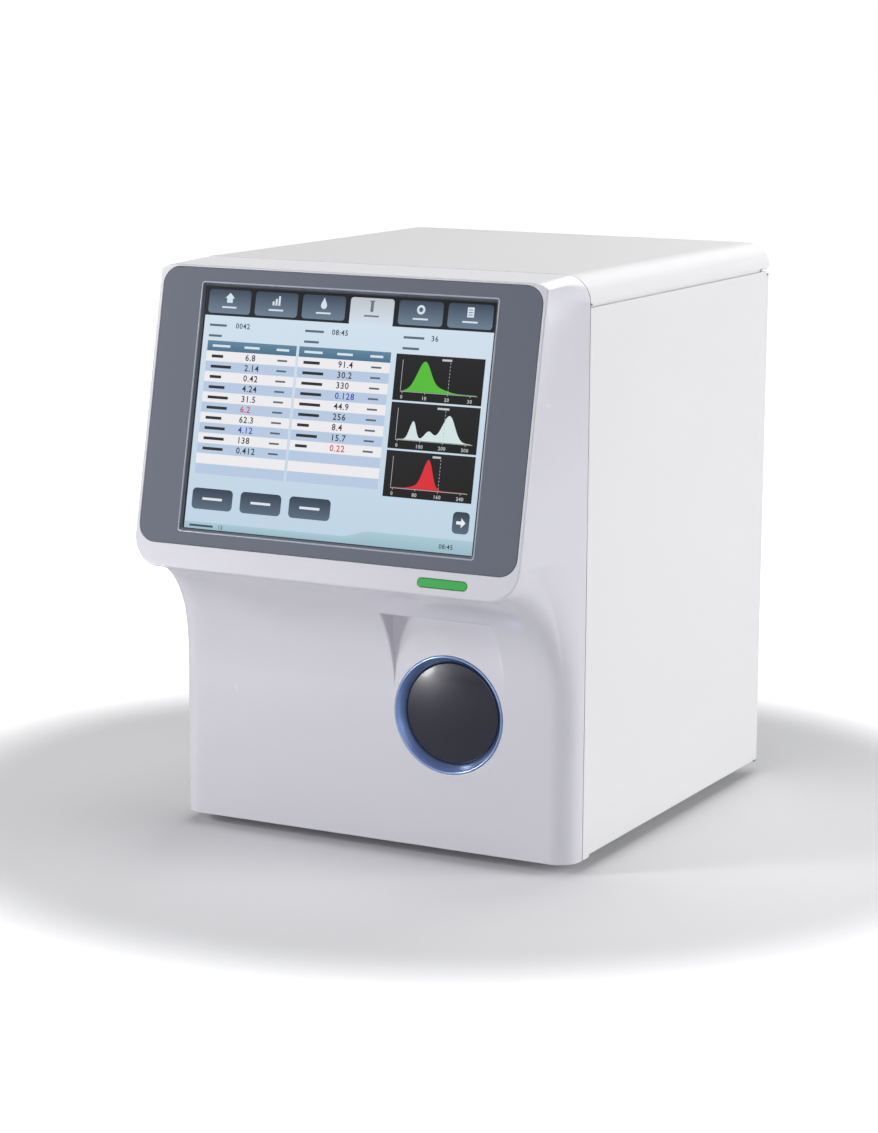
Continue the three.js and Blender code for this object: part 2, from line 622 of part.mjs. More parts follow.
// A pulley's outline: flanges either side of the belt, on a bore or on its own shaft
function pulleyProfile(inner) {
  const half = travel.belt / 2 + fit;
  const edge = half + travel.edge;
  return [[inner, -edge], [travel.flange, -edge], [travel.flange, -half], [travel.pulley, -half],
    [travel.pulley, half], [travel.flange, half], [travel.flange, edge], [inner, edge]];
}

function motorPulley() {
  const shaftEnd = partition.x - fit - lift.neckLong;
  const wheel = turned('x', [beltX, travel.motorY, pulleyZ], pulleyProfile(0), 20);
  return join(wheel, rod('x', [shaftEnd, travel.motorY, pulleyZ], beltX - shaftEnd, travel.shaft, 12));
}

function idlerPulley() {
  const profile = pulleyProfile(travel.shaft + running);
  return turned('x', [beltX, travel.idlerY, pulleyZ], [...profile, profile[0]], 20);
}

function stadium(radius) {
  const shape = new THREE.Shape();
  shape.absarc(travel.motorY, pulleyZ, radius, -Math.PI / 2, Math.PI / 2);
  shape.absarc(travel.idlerY, pulleyZ, radius, Math.PI / 2, Math.PI * 3 / 2);
  return shape;
}

function travelBelt() {
  const inner = travel.pulley + running;
  const half = travel.belt / 2;
  return cut(slab(stadium(inner + travel.beltThick), beltX - half, travel.belt, 'x', 10),
    slab(stadium(inner), beltX - half - overrun, travel.belt + 2 * overrun, 'x', 10));
}

// A square stepper motor with its corners taken off and a blind bore for a shaft
function stepper(axis, middle, start, size, long, boreFrom, bore) {
  const body = slab(roundedRect(size, size, size / 8, middle), start, long, axis, 1);
  const place = { x: [boreFrom, ...middle], z: [...middle, boreFrom] }[axis];
  return cut(body, rod(axis, place, lift.neckLong + fit, bore, 12));
}

function travelMotor() {
  const end = partition.x - fit;
  return stepper('x', [travel.motorY, pulleyZ], end - motor.travelLong, motor.travelSize,
    motor.travelLong, end - lift.neckLong - fit, travel.shaft + running);
}

function probeCarriage() {
  const deep = [carriage.front, carriage.back];
  const low = rail.low - carriage.above;
  const body = block(from(carriageX, carriage.deep), deep, [low, railTop + carriage.above]);
  const channel = block([0, railX + rail.wide + fit], [carriage.front - overrun, carriage.back + overrun],
    [rail.low - fit, railTop + fit]);
  const beltTop = pulleyZ + travel.pulley + running + travel.beltThick + fit;
  const clamp = block(around(beltX, travel.belt), deep, [beltTop, low + sink]);
  const back = block(from(towerX, carriage.plate), [tower.stripFront, tower.stripBack], [towerLow, tower.top]);
  const ends = [towerLow, tower.top - carriage.plate].map((z) =>
    block([towerX, key.x + tower.beyond], [tower.front, tower.back], from(z, carriage.plate)));
  const guide = rod('z', [guideX, lift.y, towerLow + sink], tower.top - towerLow - 2 * sink, lift.radius, 12);
  const screwHoles = rod('z', [liftX, lift.y, 0], height, lift.neck + fit, 12);
  const probeWay = rod('z', [key.x, probe.y, 0], towerLow + overrun, probe.radius + fit, 10);
  return cut(join(cut(body, channel), clamp, back, ...ends, guide), screwHoles, probeWay);
}

function liftScrew() {
  const low = towerLow + carriage.plate + fit;
  const high = tower.top - carriage.plate - fit;
  return turned('z', [liftX, lift.y, 0], [[0, towerLow], [lift.neck, towerLow], [lift.neck, low],
    [lift.radius, low], [lift.radius, high], [lift.neck, high], [lift.neck, tower.top + lift.neckLong],
    [0, tower.top + lift.neckLong]], 12);
}

function liftMotor() {
  const start = tower.top + fit;
  return stepper('z', [liftX, lift.y], start, lift.motor, lift.motorHigh, start, lift.neck + running);
}

function probeHolder() {
  const body = block([key.x - holder.leftOf, key.x + holder.rightOf], [holder.front, holder.back],
    [holder.low, holderTop]);
  const bores = [[guideX, lift.y, lift.radius], [liftX, lift.y, lift.radius], [key.x, probe.y, probe.radius]];
  return cut(body, ...bores.map(([x, y, radius]) => rod('z', [x, y, 0], height, radius + running, 12)));
}

function sampleProbe() {
  const hub = holderTop + fit;
  const tip = alcove.ceiling + probe.lift;
  return turned('z', [key.x, probe.y, 0], [[0, tip], [probe.radius, tip + probe.tip], [probe.radius, hub],
    [probeHub.radius, hub], [probeHub.radius, hub + probeHub.high], [0, hub + probeHub.high]], 10);
}

function probeWipe() {
  const top = towerLow - fit;
  const body = block(around(key.x, wipe.size), around(probe.y, wipe.size), from(top, -wipe.high));
  const side = key.x + wipe.size / 2 - sink;
  const nozzles = [1, 2].map((third) => rod('x', [side, probe.y, top - wipe.high * third / 3],
    wipe.nozzleLong + sink, wipe.nozzle, 8));
  return cut(join(body, ...nozzles), rod('z', [key.x, probe.y, 0], height, probe.radius + fit, 10));
}

// Baths: two open cups the probe is washed and emptied into. Their heights are counted up and down
// from the shelf that they hang in.
const bath = { first: 30, second: 75, radius: 15, bore: 12.5, above: 12, cone: 35, below: 44, end: 54,
  nipple: 3, drain: 1.2, flange: 18.5, flangeHigh: 2.7 };
const shelf = { front: 8, back: 97, long: 68.2, low: 0.3198 * height, thick: 2, flange: 26 };
const aperture = { start: 13.5, long: 10, wide: 14, below: 30, above: 12 };

function bathBracket() {
  const sideways = [shelf.front, shelf.back];
  const top = block(from(unitX, shelf.long), sideways, from(shelf.low, shelf.thick));
  const flange = block(from(unitX, sheet), sideways, [shelf.low - shelf.flange, shelf.low + shelf.thick]);
  const holes = [bath.first, bath.second].map((y) => rod('z', [key.x, y, 0], height, bath.radius + fit, 24));
  return cut(join(top, flange), ...holes);
}

function bathCup(y) {
  const flange = shelf.thick + fit;
  const flangeTop = flange + bath.flangeHigh;
  const body = turned('z', [key.x, y, shelf.low], [[bath.drain, -bath.end], [bath.nipple, -bath.end],
    [bath.nipple, -bath.below], [bath.radius, -bath.cone], [bath.radius, flange], [bath.flange, flange],
    [bath.flange, flangeTop], [bath.radius, flangeTop], [bath.radius, bath.above], [bath.bore, bath.above],
    [bath.bore, fit - bath.cone], [bath.drain, fit - bath.below], [bath.drain, -bath.end]], 18);
  const port = block(from(key.x + aperture.start, aperture.long), around(y, aperture.wide),
    [shelf.low - aperture.below, shelf.low - aperture.above]);
  return join(body, port);
}

// Syringes: two plungers on one carrier that a screw drives down
const stand = { front: 0.4708 * bodyDepth, deep: 64, low: 0.2792 * height, high: 0.8173 * height, thick: 2,
  long: 42.2, shelf: 0.599 * height, shelfThick: 4, foot: 3 };
const drive = { aside: 24.2, behind: 33, radius: 4, neck: 2.5, guideAside: 10.2, guide: 2.5 };
const diluent = { behind: 13, radius: 12.5, bore: 11, lip: 14, nipple: 3, rod: 4 };
const lyse = { behind: 52, radius: 7, bore: 5, lip: 9, nipple: 2, rod: 2 };
const stroke = { barrelTop: 0.7919 * height, pistonLow: 0.7411 * height, piston: 10 };
const carrier = { low: 0.4442 * height, thick: 8, edge: 4.5, left: 5.2, right: 38.2 };
const barrelEnd = { lip: 3, cone: 4, nippleLong: 8, drain: 1 };

const driveX = unitX + drive.aside;
const driveY = stand.front + drive.behind;
const driveGuideX = unitX + drive.guideAside;

function syringeFrame() {
  const sideways = from(stand.front, stand.deep);
  const web = block(from(unitX, stand.thick), sideways, [stand.low, stand.high]);
  const shelves = [[stand.shelf, stand.shelfThick], [stand.low, stand.foot]].map(([z, thick]) =>
    block(from(unitX, stand.long), sideways, from(z, thick)));
  const guide = rod('z', [driveGuideX, driveY, stand.low + sink], stand.shelf - stand.low, drive.guide, 12);
  const through = [[diluent.behind, diluent.rod], [lyse.behind, lyse.rod], [drive.behind, drive.neck]];
  const holes = through.map(([behind, radius]) =>
    rod('z', [driveX, stand.front + behind, stand.shelf - overrun], 3 * overrun, radius + fit, 14));
  const motorHole = rod('z', [driveX, driveY, stand.low - overrun], 2 * overrun, drive.neck + fit, 12);
  return cut(join(web, ...shelves, guide), ...holes, motorHole);
}

function barrel(size) {
  const low = stand.shelf + stand.shelfThick + fit;
  const top = stroke.barrelTop;
  const neck = top + barrelEnd.cone;
  const lip = low + barrelEnd.lip;
  const tip = neck + barrelEnd.nippleLong;
  return turned('z', [driveX, stand.front + size.behind, 0], [[size.bore, low], [size.lip, low],
    [size.lip, lip], [size.radius, lip], [size.radius, top], [size.nipple, neck], [size.nipple, tip],
    [barrelEnd.drain, tip], [barrelEnd.drain, top], [size.bore, top - barrelEnd.drain], [size.bore, low]], 20);
}

function plungerCarrier() {
  const body = block([unitX + carrier.left, unitX + carrier.right],
    [stand.front + carrier.edge, stand.front + stand.deep - carrier.edge], from(carrier.low, carrier.thick));
  const top = stroke.pistonLow + stroke.piston;
  const plungers = [diluent, lyse].map((size) => turned('z', [driveX, stand.front + size.behind, 0],
    [[0, carrier.low + sink], [size.rod, carrier.low + sink], [size.rod, stroke.pistonLow],
      [size.bore - running, stroke.pistonLow], [size.bore - running, top], [0, top]], 18));
  const bores = [[driveX, drive.radius], [driveGuideX, drive.guide]].map(([x, radius]) =>
    rod('z', [x, driveY, 0], height, radius + running, 14));
  return cut(join(body, ...plungers), ...bores);
}

function syringeScrew() {
  const low = stand.low + stand.foot + fit;
  const high = stand.shelf - fit;
  const end = stand.low - lift.neckLong;
  const top = stand.shelf + sheet;
  return turned('z', [driveX, driveY, 0], [[0, end], [drive.neck, end], [drive.neck, low], [drive.radius, low],
    [drive.radius, high], [drive.neck, high], [drive.neck, top], [0, top]], 14);
}

function syringeMotor() {
  const top = stand.low - fit;
  return stepper('z', [driveX, driveY], top - motor.syringeLong, motor.syringeSize, motor.syringeLong,
    top - lift.neckLong, drive.neck + running);
}

// Fluidics on the tray and the partition
const motor = { travelSize: 28, travelLong: 32, syringeSize: 35, syringeLong: 34 };
const valves = { left: 14.2, right: 46.2, front: 0.487 * bodyDepth, back: 0.9416 * bodyDepth, high: 30,
  radius: 8, coilHigh: 24, count: 7, barb: 1.5, barbLong: 8 };
const pumps = { left: 13.2, right: 46.2, front: 22, back: 78, high: 0.1421 * height, headShare: 0.4113,
  headLong: 10, bevel: 2, tube: 2 };
const vacuum = { aside: 26.2, y: 0.8377 * bodyDepth, radius: 15, low: 0.2843 * height, long: 50, headHigh: 16,
  head: 38, nozzle: 2.5 };
const chamber = { aside: 28.2, y: 0.8279 * bodyDepth, radius: 20, low: 0.5736 * height,
  high: 0.8071 * height, cap: 4, nozzle: 2.5, clamp: 14, clampZ: 0.6802 * height };

function valveBank() {
  const right = unitX + valves.right;
  const body = block([unitX + valves.left, right], [valves.front, valves.back], [floorZ, valves.high]);
  const middle = unitX + (valves.left + valves.right) / 2;
  const spots = Array.from({ length: valves.count }, (_, i) =>
    valves.front + (valves.back - valves.front) * (i + 0.5) / valves.count);
  const coils = spots.map((y) =>
    rod('z', [middle, y, valves.high - sink], valves.coilHigh, valves.radius, 14));
  const barbs = spots.map((y) => rod('x', [right - sink, y, (floorZ + valves.high) / 2],
    valves.barbLong, valves.barb, 8));
  return join(body, ...coils, ...barbs);
}

function wastePump() {
  const right = unitX + pumps.right;
  const radius = pumps.headShare * (pumps.high - floorZ);
  const [y, z] = [(pumps.front + pumps.back) / 2, (floorZ + pumps.high) / 2];
  const body = block([unitX + pumps.left, right], [pumps.front, pumps.back], [floorZ, pumps.high]);
  const head = turned('x', [right, y, z], [[0, -sink], [radius, -sink], [radius, pumps.headLong - pumps.bevel],
    [radius - pumps.bevel, pumps.headLong], [0, pumps.headLong]], 24);
  const tubes = [-1, 1].map((side) => rod('z', [right - radius / 2, y + side * radius / 2, pumps.high - sink],
    wipe.nozzleLong + sink, pumps.tube, 8));
  return join(body, head, ...tubes);
}

function vacuumPump() {
  const x = unitX + vacuum.aside;
  const top = vacuum.low + vacuum.long;
  const body = rod('z', [x, vacuum.y, vacuum.low], vacuum.long, vacuum.radius, 20);
  const head = block(around(x, vacuum.head), around(vacuum.y, vacuum.head), from(top - sink, vacuum.headHigh));
  const saddle = block([unitX, x], around(vacuum.y, vacuum.head / 2), around(vacuum.low + vacuum.long / 2,
    vacuum.headHigh));
  const nozzles = [-1, 1].map((side) => rod('z', [x, vacuum.y + side * vacuum.head / 4,
    top + vacuum.headHigh - 2 * sink], wipe.nozzleLong + 2 * sink, vacuum.nozzle, 8));
  return join(body, head, saddle, ...nozzles);
}

function vacuumChamber() {
  const x = unitX + chamber.aside;
  const body = turned('z', [x, chamber.y, 0], [[0, chamber.low], [chamber.radius, chamber.low],
    [chamber.radius, chamber.high], [chamber.radius - chamber.cap, chamber.high + chamber.cap],
    [0, chamber.high + chamber.cap]], 24);
  const saddle = block([unitX, x], around(chamber.y, chamber.radius), around(chamber.clampZ, chamber.clamp));
  const nozzle = rod('z', [x, chamber.y, chamber.high], chamber.cap + wipe.nozzleLong, chamber.nozzle, 8);
  return join(body, saddle, nozzle);
}

// Electronics on the left of the partition
const board = { thick: 1.6, gap: 8, front: 0.1299 * bodyDepth, long: 0.6494 * bodyDepth, low: 0.1269 * height,
  tall: 0.4822 * height, post: 3, inset: 6 };

// Chips and plugs as shares: place and size of the board's length and height, thickness of its gap
const chipShares = [
  { along: 0.25, up: 0.684, wide: 0.12, high: 0.126, thick: 0.375 },
  { along: 0.55, up: 0.737, wide: 0.09, high: 0.095, thick: 0.375 },
  { along: 0.8, up: 0.526, wide: 0.15, high: 0.063, thick: 0.625 },
  { along: 0.3, up: 0.263, wide: 0.2, high: 0.074, thick: 0.5 },
  { along: 0.7, up: 0.132, wide: 0.3, high: 0.042, thick: 1.25 },
  { along: 0.15, up: 0.079, wide: 0.2, high: 0.042, thick: 1.25 },
];
const supply = { wide: 78, front: 0.5357 * bodyDepth, footRoom: 5, high: 62, slot: 3, slotLong: 50, slots: 6,
  deep: 4 };

function mainBoard() {
  const back = partition.x - fit;
  const start = back - board.gap;
  const base = block(from(start, -board.thick), from(board.front, board.long), from(board.low, board.tall));
  const posts = [board.inset, board.long - board.inset].flatMap((along) =>
    [board.inset, board.tall - board.inset].map((up) => rod('x',
      [start - sink, board.front + along, board.low + up], board.gap + sink, board.post, 8)));
  const chips = chipShares.map((share) => block(from(start - sink, -board.thick - share.thick * board.gap),
    around(board.front + share.along * board.long, share.wide * board.long),
    around(board.low + share.up * board.tall, share.high * board.tall)));
  return join(base, ...posts, ...chips);
}

function powerSupply() {
  const left = sideInset.supply - halfWidth;
  const middle = left + supply.wide / 2;
  const back = foot.back - supply.footRoom;
  const body = block(from(left, supply.wide), [supply.front, back], [floorZ, supply.high]);
  const grooves = Array.from({ length: supply.slots }, (_, i) => block(
    around(middle, supply.slotLong),
    around(supply.front + (back - supply.front) * (i + 0.5) / supply.slots, supply.slot),
    [supply.high - supply.deep, supply.high + overrun]));
  const terminals = block(around(middle, supply.slotLong),
    from(supply.front + sink, -socket.wide / 2), [floorZ, floorZ + socket.wide / 2]);
  return join(cut(body, ...grooves), terminals);
}

// Rear panel fittings
const fan = { x: -0.5 * halfWidth, z: 0.6345 * height, size: 80, thick: 25, duct: 38, hub: 16, corner: 5,
  strut: 4, strutThick: 3, motor: 15, motorDeep: 8, blades: 7, tip: 36.5, bladeThick: 1.4, shaft: 2 };
const inlet = { x: sideInset.inlet - halfWidth, z: 42, wide: 27, high: 20, flange: 2, margin: 3, inside: 22,
  socketWide: 23, socketHigh: 15.5, socketDeep: 15, pinWide: 2, pinHigh: 4, pinLong: 11, pinPitch: 7 };
const switchPitch = 36;
const rocker = { x: inlet.x + switchPitch, z: inlet.z, wide: 19, high: 27, margin: 2.5, inside: 16, flange: 2,
  openWide: 13.4, openHigh: 23, openDeep: 12, key: 12.6, keyHalf: 10.4, shoulder: 1, hub: 3.4, face: 4.4,
  rise: 1.4, pivotDepth: 3.6, pin: 1.2, pinLong: 1.5 };
const ports = { x: 0.50667 * halfWidth, z: 0.2792 * height, wide: 70, high: 44, corner: 4, margin: 4,
  thick: 2.2, barb: 3, bore: 1.5, barbLong: 12, taper: 1, collar: 6, collarLong: 4, inside: 10, pitch: 30,
  rise: 10 };
const sockets = { x: -0.26667 * halfWidth, z: 0.2792 * height, wide: 44, high: 34, margin: 3, thick: 1.8,
  inside: 14, deep: 11, lanWide: 16, lanHigh: 13, usbWide: 13.5, usbHigh: 6, lowRise: 8, serialWide: 17,
  serialHigh: 8 };
const rearOut = rear.front + sheet + fit;

function fanHousing() {
  const back = rear.front - fit;
  const front = back - fan.thick;
  const shell = cut(slab(roundedRect(fan.size, fan.size, fan.corner, [fan.x, fan.z]), front, fan.thick),
    rod('y', [fan.x, front - overrun, fan.z], fan.thick + 2 * overrun, fan.duct, 32));
  const struts = [0, 1, 2].map((third) => {
    const bar = new THREE.BoxGeometry(fan.duct + sink, fan.strutThick, fan.strut);
    bar.translate((fan.duct + sink) / 2, 0, 0).rotateY(third * 2 * Math.PI / 3 + Math.PI / 6);
    return bar.translate(fan.x, front + fan.strutThick / 2, fan.z);
  });
  const mount = rod('y', [fan.x, front, fan.z], fan.motorDeep, fan.motor, 20);
  const bore = rod('y', [fan.x, front + fan.strutThick, fan.z], fan.motorDeep, fan.shaft + running, 10);
  return cut(join(shell, ...struts, mount), bore);
}

function fanRotor() {
  const back = rear.front - fit;
  const front = back - fan.thick + fan.motorDeep + fit;
  const shaftEnd = front - fan.motorDeep + fan.strutThick;
  const hub = turned('y', [fan.x, 0, fan.z], [[0, shaftEnd], [fan.shaft, shaftEnd], [fan.shaft, front],
    [fan.hub, front], [fan.hub, back - fit], [0, back - fit]], 20);
  const blades = Array.from({ length: fan.blades }, (_, i) => {
    const long = fan.tip - fan.hub + sink;
    const blade = new THREE.BoxGeometry(long, fan.bladeThick, (back - front) * 0.8);
    blade.rotateX(-Math.PI / 4).translate(fan.hub - sink + long / 2, (back + front) / 2, 0);
    return blade.rotateY(i * 2 * Math.PI / fan.blades).translate(fan.x, 0, fan.z);
  });
  return join(hub, ...blades);
}

const guard = { inner: 14, pitch: 8, rings: 4, wire: 1.8, hub: 6, tabRadius: 5, screwAt: 35.75 };

function fanGuard() {
  const hoops = Array.from({ length: guard.rings }, (_, i) => {
    const inside = guard.inner + i * guard.pitch - guard.wire / 2;
    return turned('y', [fan.x, rearOut, fan.z], [[inside, 0], [inside + guard.wire, 0],
      [inside + guard.wire, guard.wire], [inside, guard.wire], [inside, 0]], 32);
  });
  const spokes = [-1, 1].map((side) => {
    const reach = guard.screwAt * Math.SQRT2;
    const bar = new THREE.BoxGeometry(2 * reach, guard.wire, 2 * guard.wire);
    return bar.rotateY(side * Math.PI / 4).translate(fan.x, rearOut + guard.wire / 2, fan.z);
  });
  const tabs = [-1, 1].flatMap((sx) => [-1, 1].map((sz) => rod('y',
    [fan.x + sx * guard.screwAt, rearOut, fan.z + sz * guard.screwAt], guard.wire, guard.tabRadius, 12)));
  const boss = rod('y', [fan.x, rearOut, fan.z], guard.wire, guard.hub, 16);
  return join(...hoops, ...spokes, ...tabs, boss);
}

// A fitting snapped into the rear panel: a flange outside and a body through the cut-out
function panelBody(size, flange) {
  const outside = slab(roundedRect(size.wide + 2 * size.margin, size.high + 2 * size.margin, size.margin / 2,
    [size.x, size.z]), rearOut, flange);
  const inside = block(around(size.x, size.wide), [rear.front - size.inside, rearOut + flange / 2],
    around(size.z, size.high));
  return join(outside, inside);
}

function mainsInlet() {
  const mouth = rearOut + inlet.flange;
  const [across, up] = [inlet.socketWide / 2, inlet.socketHigh / 2];
  const shape = new THREE.Shape();
  shape.moveTo(inlet.x - across, inlet.z - up);
  shape.lineTo(inlet.x + across, inlet.z - up);
  shape.lineTo(inlet.x + across, inlet.z + up / 2);
  shape.lineTo(inlet.x + across - up / 2, inlet.z + up);
  shape.lineTo(inlet.x - across + up / 2, inlet.z + up);
  shape.lineTo(inlet.x - across, inlet.z + up / 2);
  const floor = mouth - inlet.socketDeep;
  const pins = [[-1, 0], [0, 1], [1, 0]].map(([side, lifted]) => block(
    around(inlet.x + side * inlet.pinPitch, inlet.pinWide), from(floor - sink, inlet.pinLong),
    around(inlet.z - inlet.pinHigh / 2 + lifted * inlet.pinHigh, inlet.pinHigh)));
  return join(cut(panelBody(inlet, inlet.flange), slab(shape, floor, inlet.socketDeep + overrun)), ...pins);
}

const rockerPivotY = rearOut + rocker.flange - rocker.pivotDepth - sheet;

function switchHousing() {
  const mouth = rearOut + rocker.flange;
  const opening = block(around(rocker.x, rocker.openWide), [mouth - rocker.openDeep, mouth + overrun],
    around(rocker.z, rocker.openHigh));
  const bore = rod('x', [rocker.x - rocker.openWide / 2 - rocker.pinLong - fit, rockerPivotY, rocker.z],
    rocker.openWide + 2 * (rocker.pinLong + fit), rocker.pin + running, 10);
  return cut(panelBody(rocker, rocker.flange), opening, bore);
}

// The rocker in its off position: a shallow V that stands proud at one end
function rockerKey() {
  const half = rocker.keyHalf;
  const shape = new THREE.Shape();
  shape.moveTo(rocker.face + rocker.rise, -half);
  shape.lineTo(rocker.face, 0);
  shape.lineTo(rocker.face + rocker.rise, half);
  shape.lineTo(-rocker.shoulder, half);
  shape.lineTo(-rocker.hub, rocker.hub);
  shape.lineTo(-rocker.hub, -rocker.hub);
  shape.lineTo(-rocker.shoulder, -half);
  const body = slab(shape, -rocker.key / 2, rocker.key, 'x');
  const axle = rod('x', [-rocker.openWide / 2 - rocker.pinLong + running, 0, 0],
    rocker.openWide + 2 * (rocker.pinLong - running), rocker.pin, 10);
  const tilt = Math.atan(rocker.rise / half);
  return join(body, axle).rotateX(tilt).translate(rocker.x, rockerPivotY, rocker.z);
}

// Four hose barbs on a plate: diluent, lyse, cleanser and waste
function portPlate() {
  const spots = [-1, 1].flatMap((sx) => [-1, 1].map((sz) =>
    [ports.x + sx * ports.pitch / 2, ports.z + sz * ports.rise]));
  const outside = slab(roundedRect(ports.wide + 2 * ports.margin, ports.high + 2 * ports.margin, ports.corner,
    [ports.x, ports.z]), rearOut, ports.thick);
  const inside = slab(roundedRect(ports.wide, ports.high, ports.corner, [ports.x, ports.z]),
    rear.front - sheet, rearOut + sink - rear.front + sheet);
  const outer = rearOut + ports.thick;
  const inner = rear.front - ports.inside;
  const tip = outer + ports.barbLong;
  const barbs = spots.map(([x, z]) => turned('y', [x, 0, z], [[0, inner], [ports.barb, inner],
    [ports.barb, outer - sink], [ports.collar, outer - sink], [ports.collar, outer + ports.collarLong],
    [ports.barb, outer + ports.collarLong], [ports.barb, tip - ports.taper], [ports.barb - ports.taper, tip],
    [0, tip]], 12));
  const bores = spots.map(([x, z]) =>
    rod('y', [x, inner - overrun, z], tip - inner + 2 * overrun, ports.bore, 8));
  return cut(join(outside, inside, ...barbs), ...bores);
}

function connectorBlock() {
  const mouth = rearOut + sockets.thick;
  const hollow = (x, z, wide, high) => block(around(x, wide), [mouth - sockets.deep, mouth + overrun],
    around(z, high));
  const [left, right] = [sockets.x - sockets.wide / 4, sockets.x + sockets.wide / 4];
  return cut(panelBody(sockets, sockets.thick),
    hollow(left, sockets.z + sockets.lowRise, sockets.lanWide, sockets.lanHigh),
    hollow(left, sockets.z - sockets.lowRise, sockets.serialWide, sockets.serialHigh),
    hollow(right, sockets.z + sockets.lowRise, sockets.usbWide, sockets.usbHigh),
    hollow(right, sockets.z - sockets.lowRise, sockets.usbWide, sockets.usbHigh));
}

// Rear covers: a wrap-over roof, a vented left panel and a service door on the right
const joggle = { outer: halfWidth - panelWall - fit, thick: 2.2, low: sideSeamHeight - topInset.strip, up: 4.2,
  front: 6, back: bodyDepth - backInset.strip, tie: 1.5 };
const rim = { deep: 2.2, wide: 2.5, front: 4, back: bodyDepth - backInset.rim, low: 14,
  high: sideSeamHeight - topInset.rim };
const louvre = { rows: 9, low: 0.2284 * height, pitch: 14, long: 60, high: 3 };
const louvreShares = [0.341, 0.6494];
const step = { long: 10, rise: footHeight + sheet + fit };
const catchBlock = { z: 0.4822 * height, wide: 20, from: halfWidth - sideInset.catch, deep: 11, gap: 0.4,
  inset: 4 };

function roofSolid(inset) {
  const across = new THREE.Shape();
  const half = halfWidth - inset;
  const roll = roof.rollRadius - inset;
  const low = sideSeamHeight + seam / 2 - (inset > 0 ? overrun : 0);
  const middle = height - roof.rollRadius;
  across.moveTo(half, low);
  across.absarc(halfWidth - roof.rollRadius, middle, roll, 0, Math.PI / 2);
  across.absarc(roof.rollRadius - halfWidth, middle, roll, Math.PI / 2, Math.PI);
  across.lineTo(-half, low);
  const along = new THREE.Shape();
  const start = inset > 0 ? seam - overrun : seam;
  along.moveTo(start, low - overrun);
  along.lineTo(bodyDepth - inset, low - overrun);
  along.absarc(bodyDepth - roof.rearRadius, height - roof.rearRadius, roof.rearRadius - inset, 0, Math.PI / 2);
  along.lineTo(start, height - inset);
  return meet(slab(across, start, bodyDepth - start, 'y', 5), slab(along, -halfWidth - overrun,
    width + 2 * overrun, 'x', 3));
}

function topCover() {
  const [sideways, top] = [[joggle.front, joggle.back], sideSeamHeight + joggle.up];
  const strips = [-1, 1].flatMap((side) => [
    block(from(side * joggle.outer, -side * joggle.thick), sideways, [joggle.low, top]),
    block(from(side * (joggle.outer + joggle.tie), -side * 2 * joggle.tie), sideways,
      [sideSeamHeight + seam, top])]);
  return join(cut(roofSolid(0), roofSolid(panelWall)), ...strips);
}

function rimRing(side) {
  const xs = from(side * (halfWidth - panelWall / 2), -side * (panelWall / 2 + rim.deep));
  const inner = [rim.front + rim.wide, rim.back - rim.wide];
  return cut(block(xs, [rim.front, rim.back], [rim.low, rim.high]),
    block([-halfWidth, halfWidth], inner, [rim.low + rim.wide, rim.high - rim.wide]));
}

function leftSidePanel() {
  const skin = block(from(-halfWidth, panelWall), [seam, bodyDepth], [footHeight, panelTop]);
  const vents = louvreShares.flatMap((share) => Array.from({ length: louvre.rows }, (_, i) =>
    block([-height, 0], around(share * bodyDepth, louvre.long),
      around(louvre.low + i * louvre.pitch, louvre.high))));
  return cut(join(skin, rimRing(-1)), ...vents);
}

function serviceDoor() {
  const skin = cut(block(from(halfWidth, -panelWall), [seam, hinge.y], [footHeight, panelTop]),
    block([0, width], [seam + step.long, bodyDepth + overrun], [0, step.rise]),
    block([0, width], [hinge.y - knuckle - fit, bodyDepth + overrun], [rear.ledge - fit, height]));
  const barrelForm = rod('z', [hinge.x, hinge.y, step.rise], rear.ledge - fit - step.rise, knuckle, 16);
  const strikeY = frame.front + sheet + catchBlock.deep / 2 + rim.wide;
  const strike = block(from(halfWidth - panelWall / 2, -panelWall / 2 - rim.deep),
    around(strikeY, catchBlock.deep), around(catchBlock.z, catchBlock.wide));
  const boreLong = hinge.pinLong + 2 * overrun;
  return cut(join(skin, rimRing(1), barrelForm, strike),
    rod('z', [hinge.x, hinge.y, step.rise - overrun], boreLong, hinge.bore, 10),
    rod('z', [hinge.x, hinge.y, rear.ledge - hinge.pinLong - overrun], boreLong, hinge.bore, 10));
}

function doorCatch() {
  const start = frame.front + sheet + fit;
  const edge = halfWidth - panelWall - rim.deep - catchBlock.gap;
  const body = block([catchBlock.from, edge - sink], from(start, catchBlock.deep),
    around(catchBlock.z, catchBlock.wide));
  const magnet = block([catchBlock.from + sink, edge],
    around(start + catchBlock.deep / 2, catchBlock.deep / 2),
    around(catchBlock.z, catchBlock.wide - catchBlock.inset));
  return join(body, magnet);
}

addPiece('base_plate', basePlate(), zincSteel);
for (const [x, y] of footSpots()) {
  const place = `${y === foot.front ? 'front' : 'rear'}_${x < 0 ? 'left' : 'right'}`;
  addPiece(`foot_${place}`, rubberFoot(x, y), rubber);
}
addPiece('front_frame', frontFrame(), zincSteel);
addPiece('center_partition', centerPartition(), zincSteel);
addPiece('rear_panel', rearPanel(), zincSteel);
addPiece('top_cover', topCover(), whitePanel);
addPiece('left_side_panel', leftSidePanel(), whitePanel);
addPiece('service_door', serviceDoor(), whitePanel);
addPiece('door_catch', doorCatch(), blackPlastic);

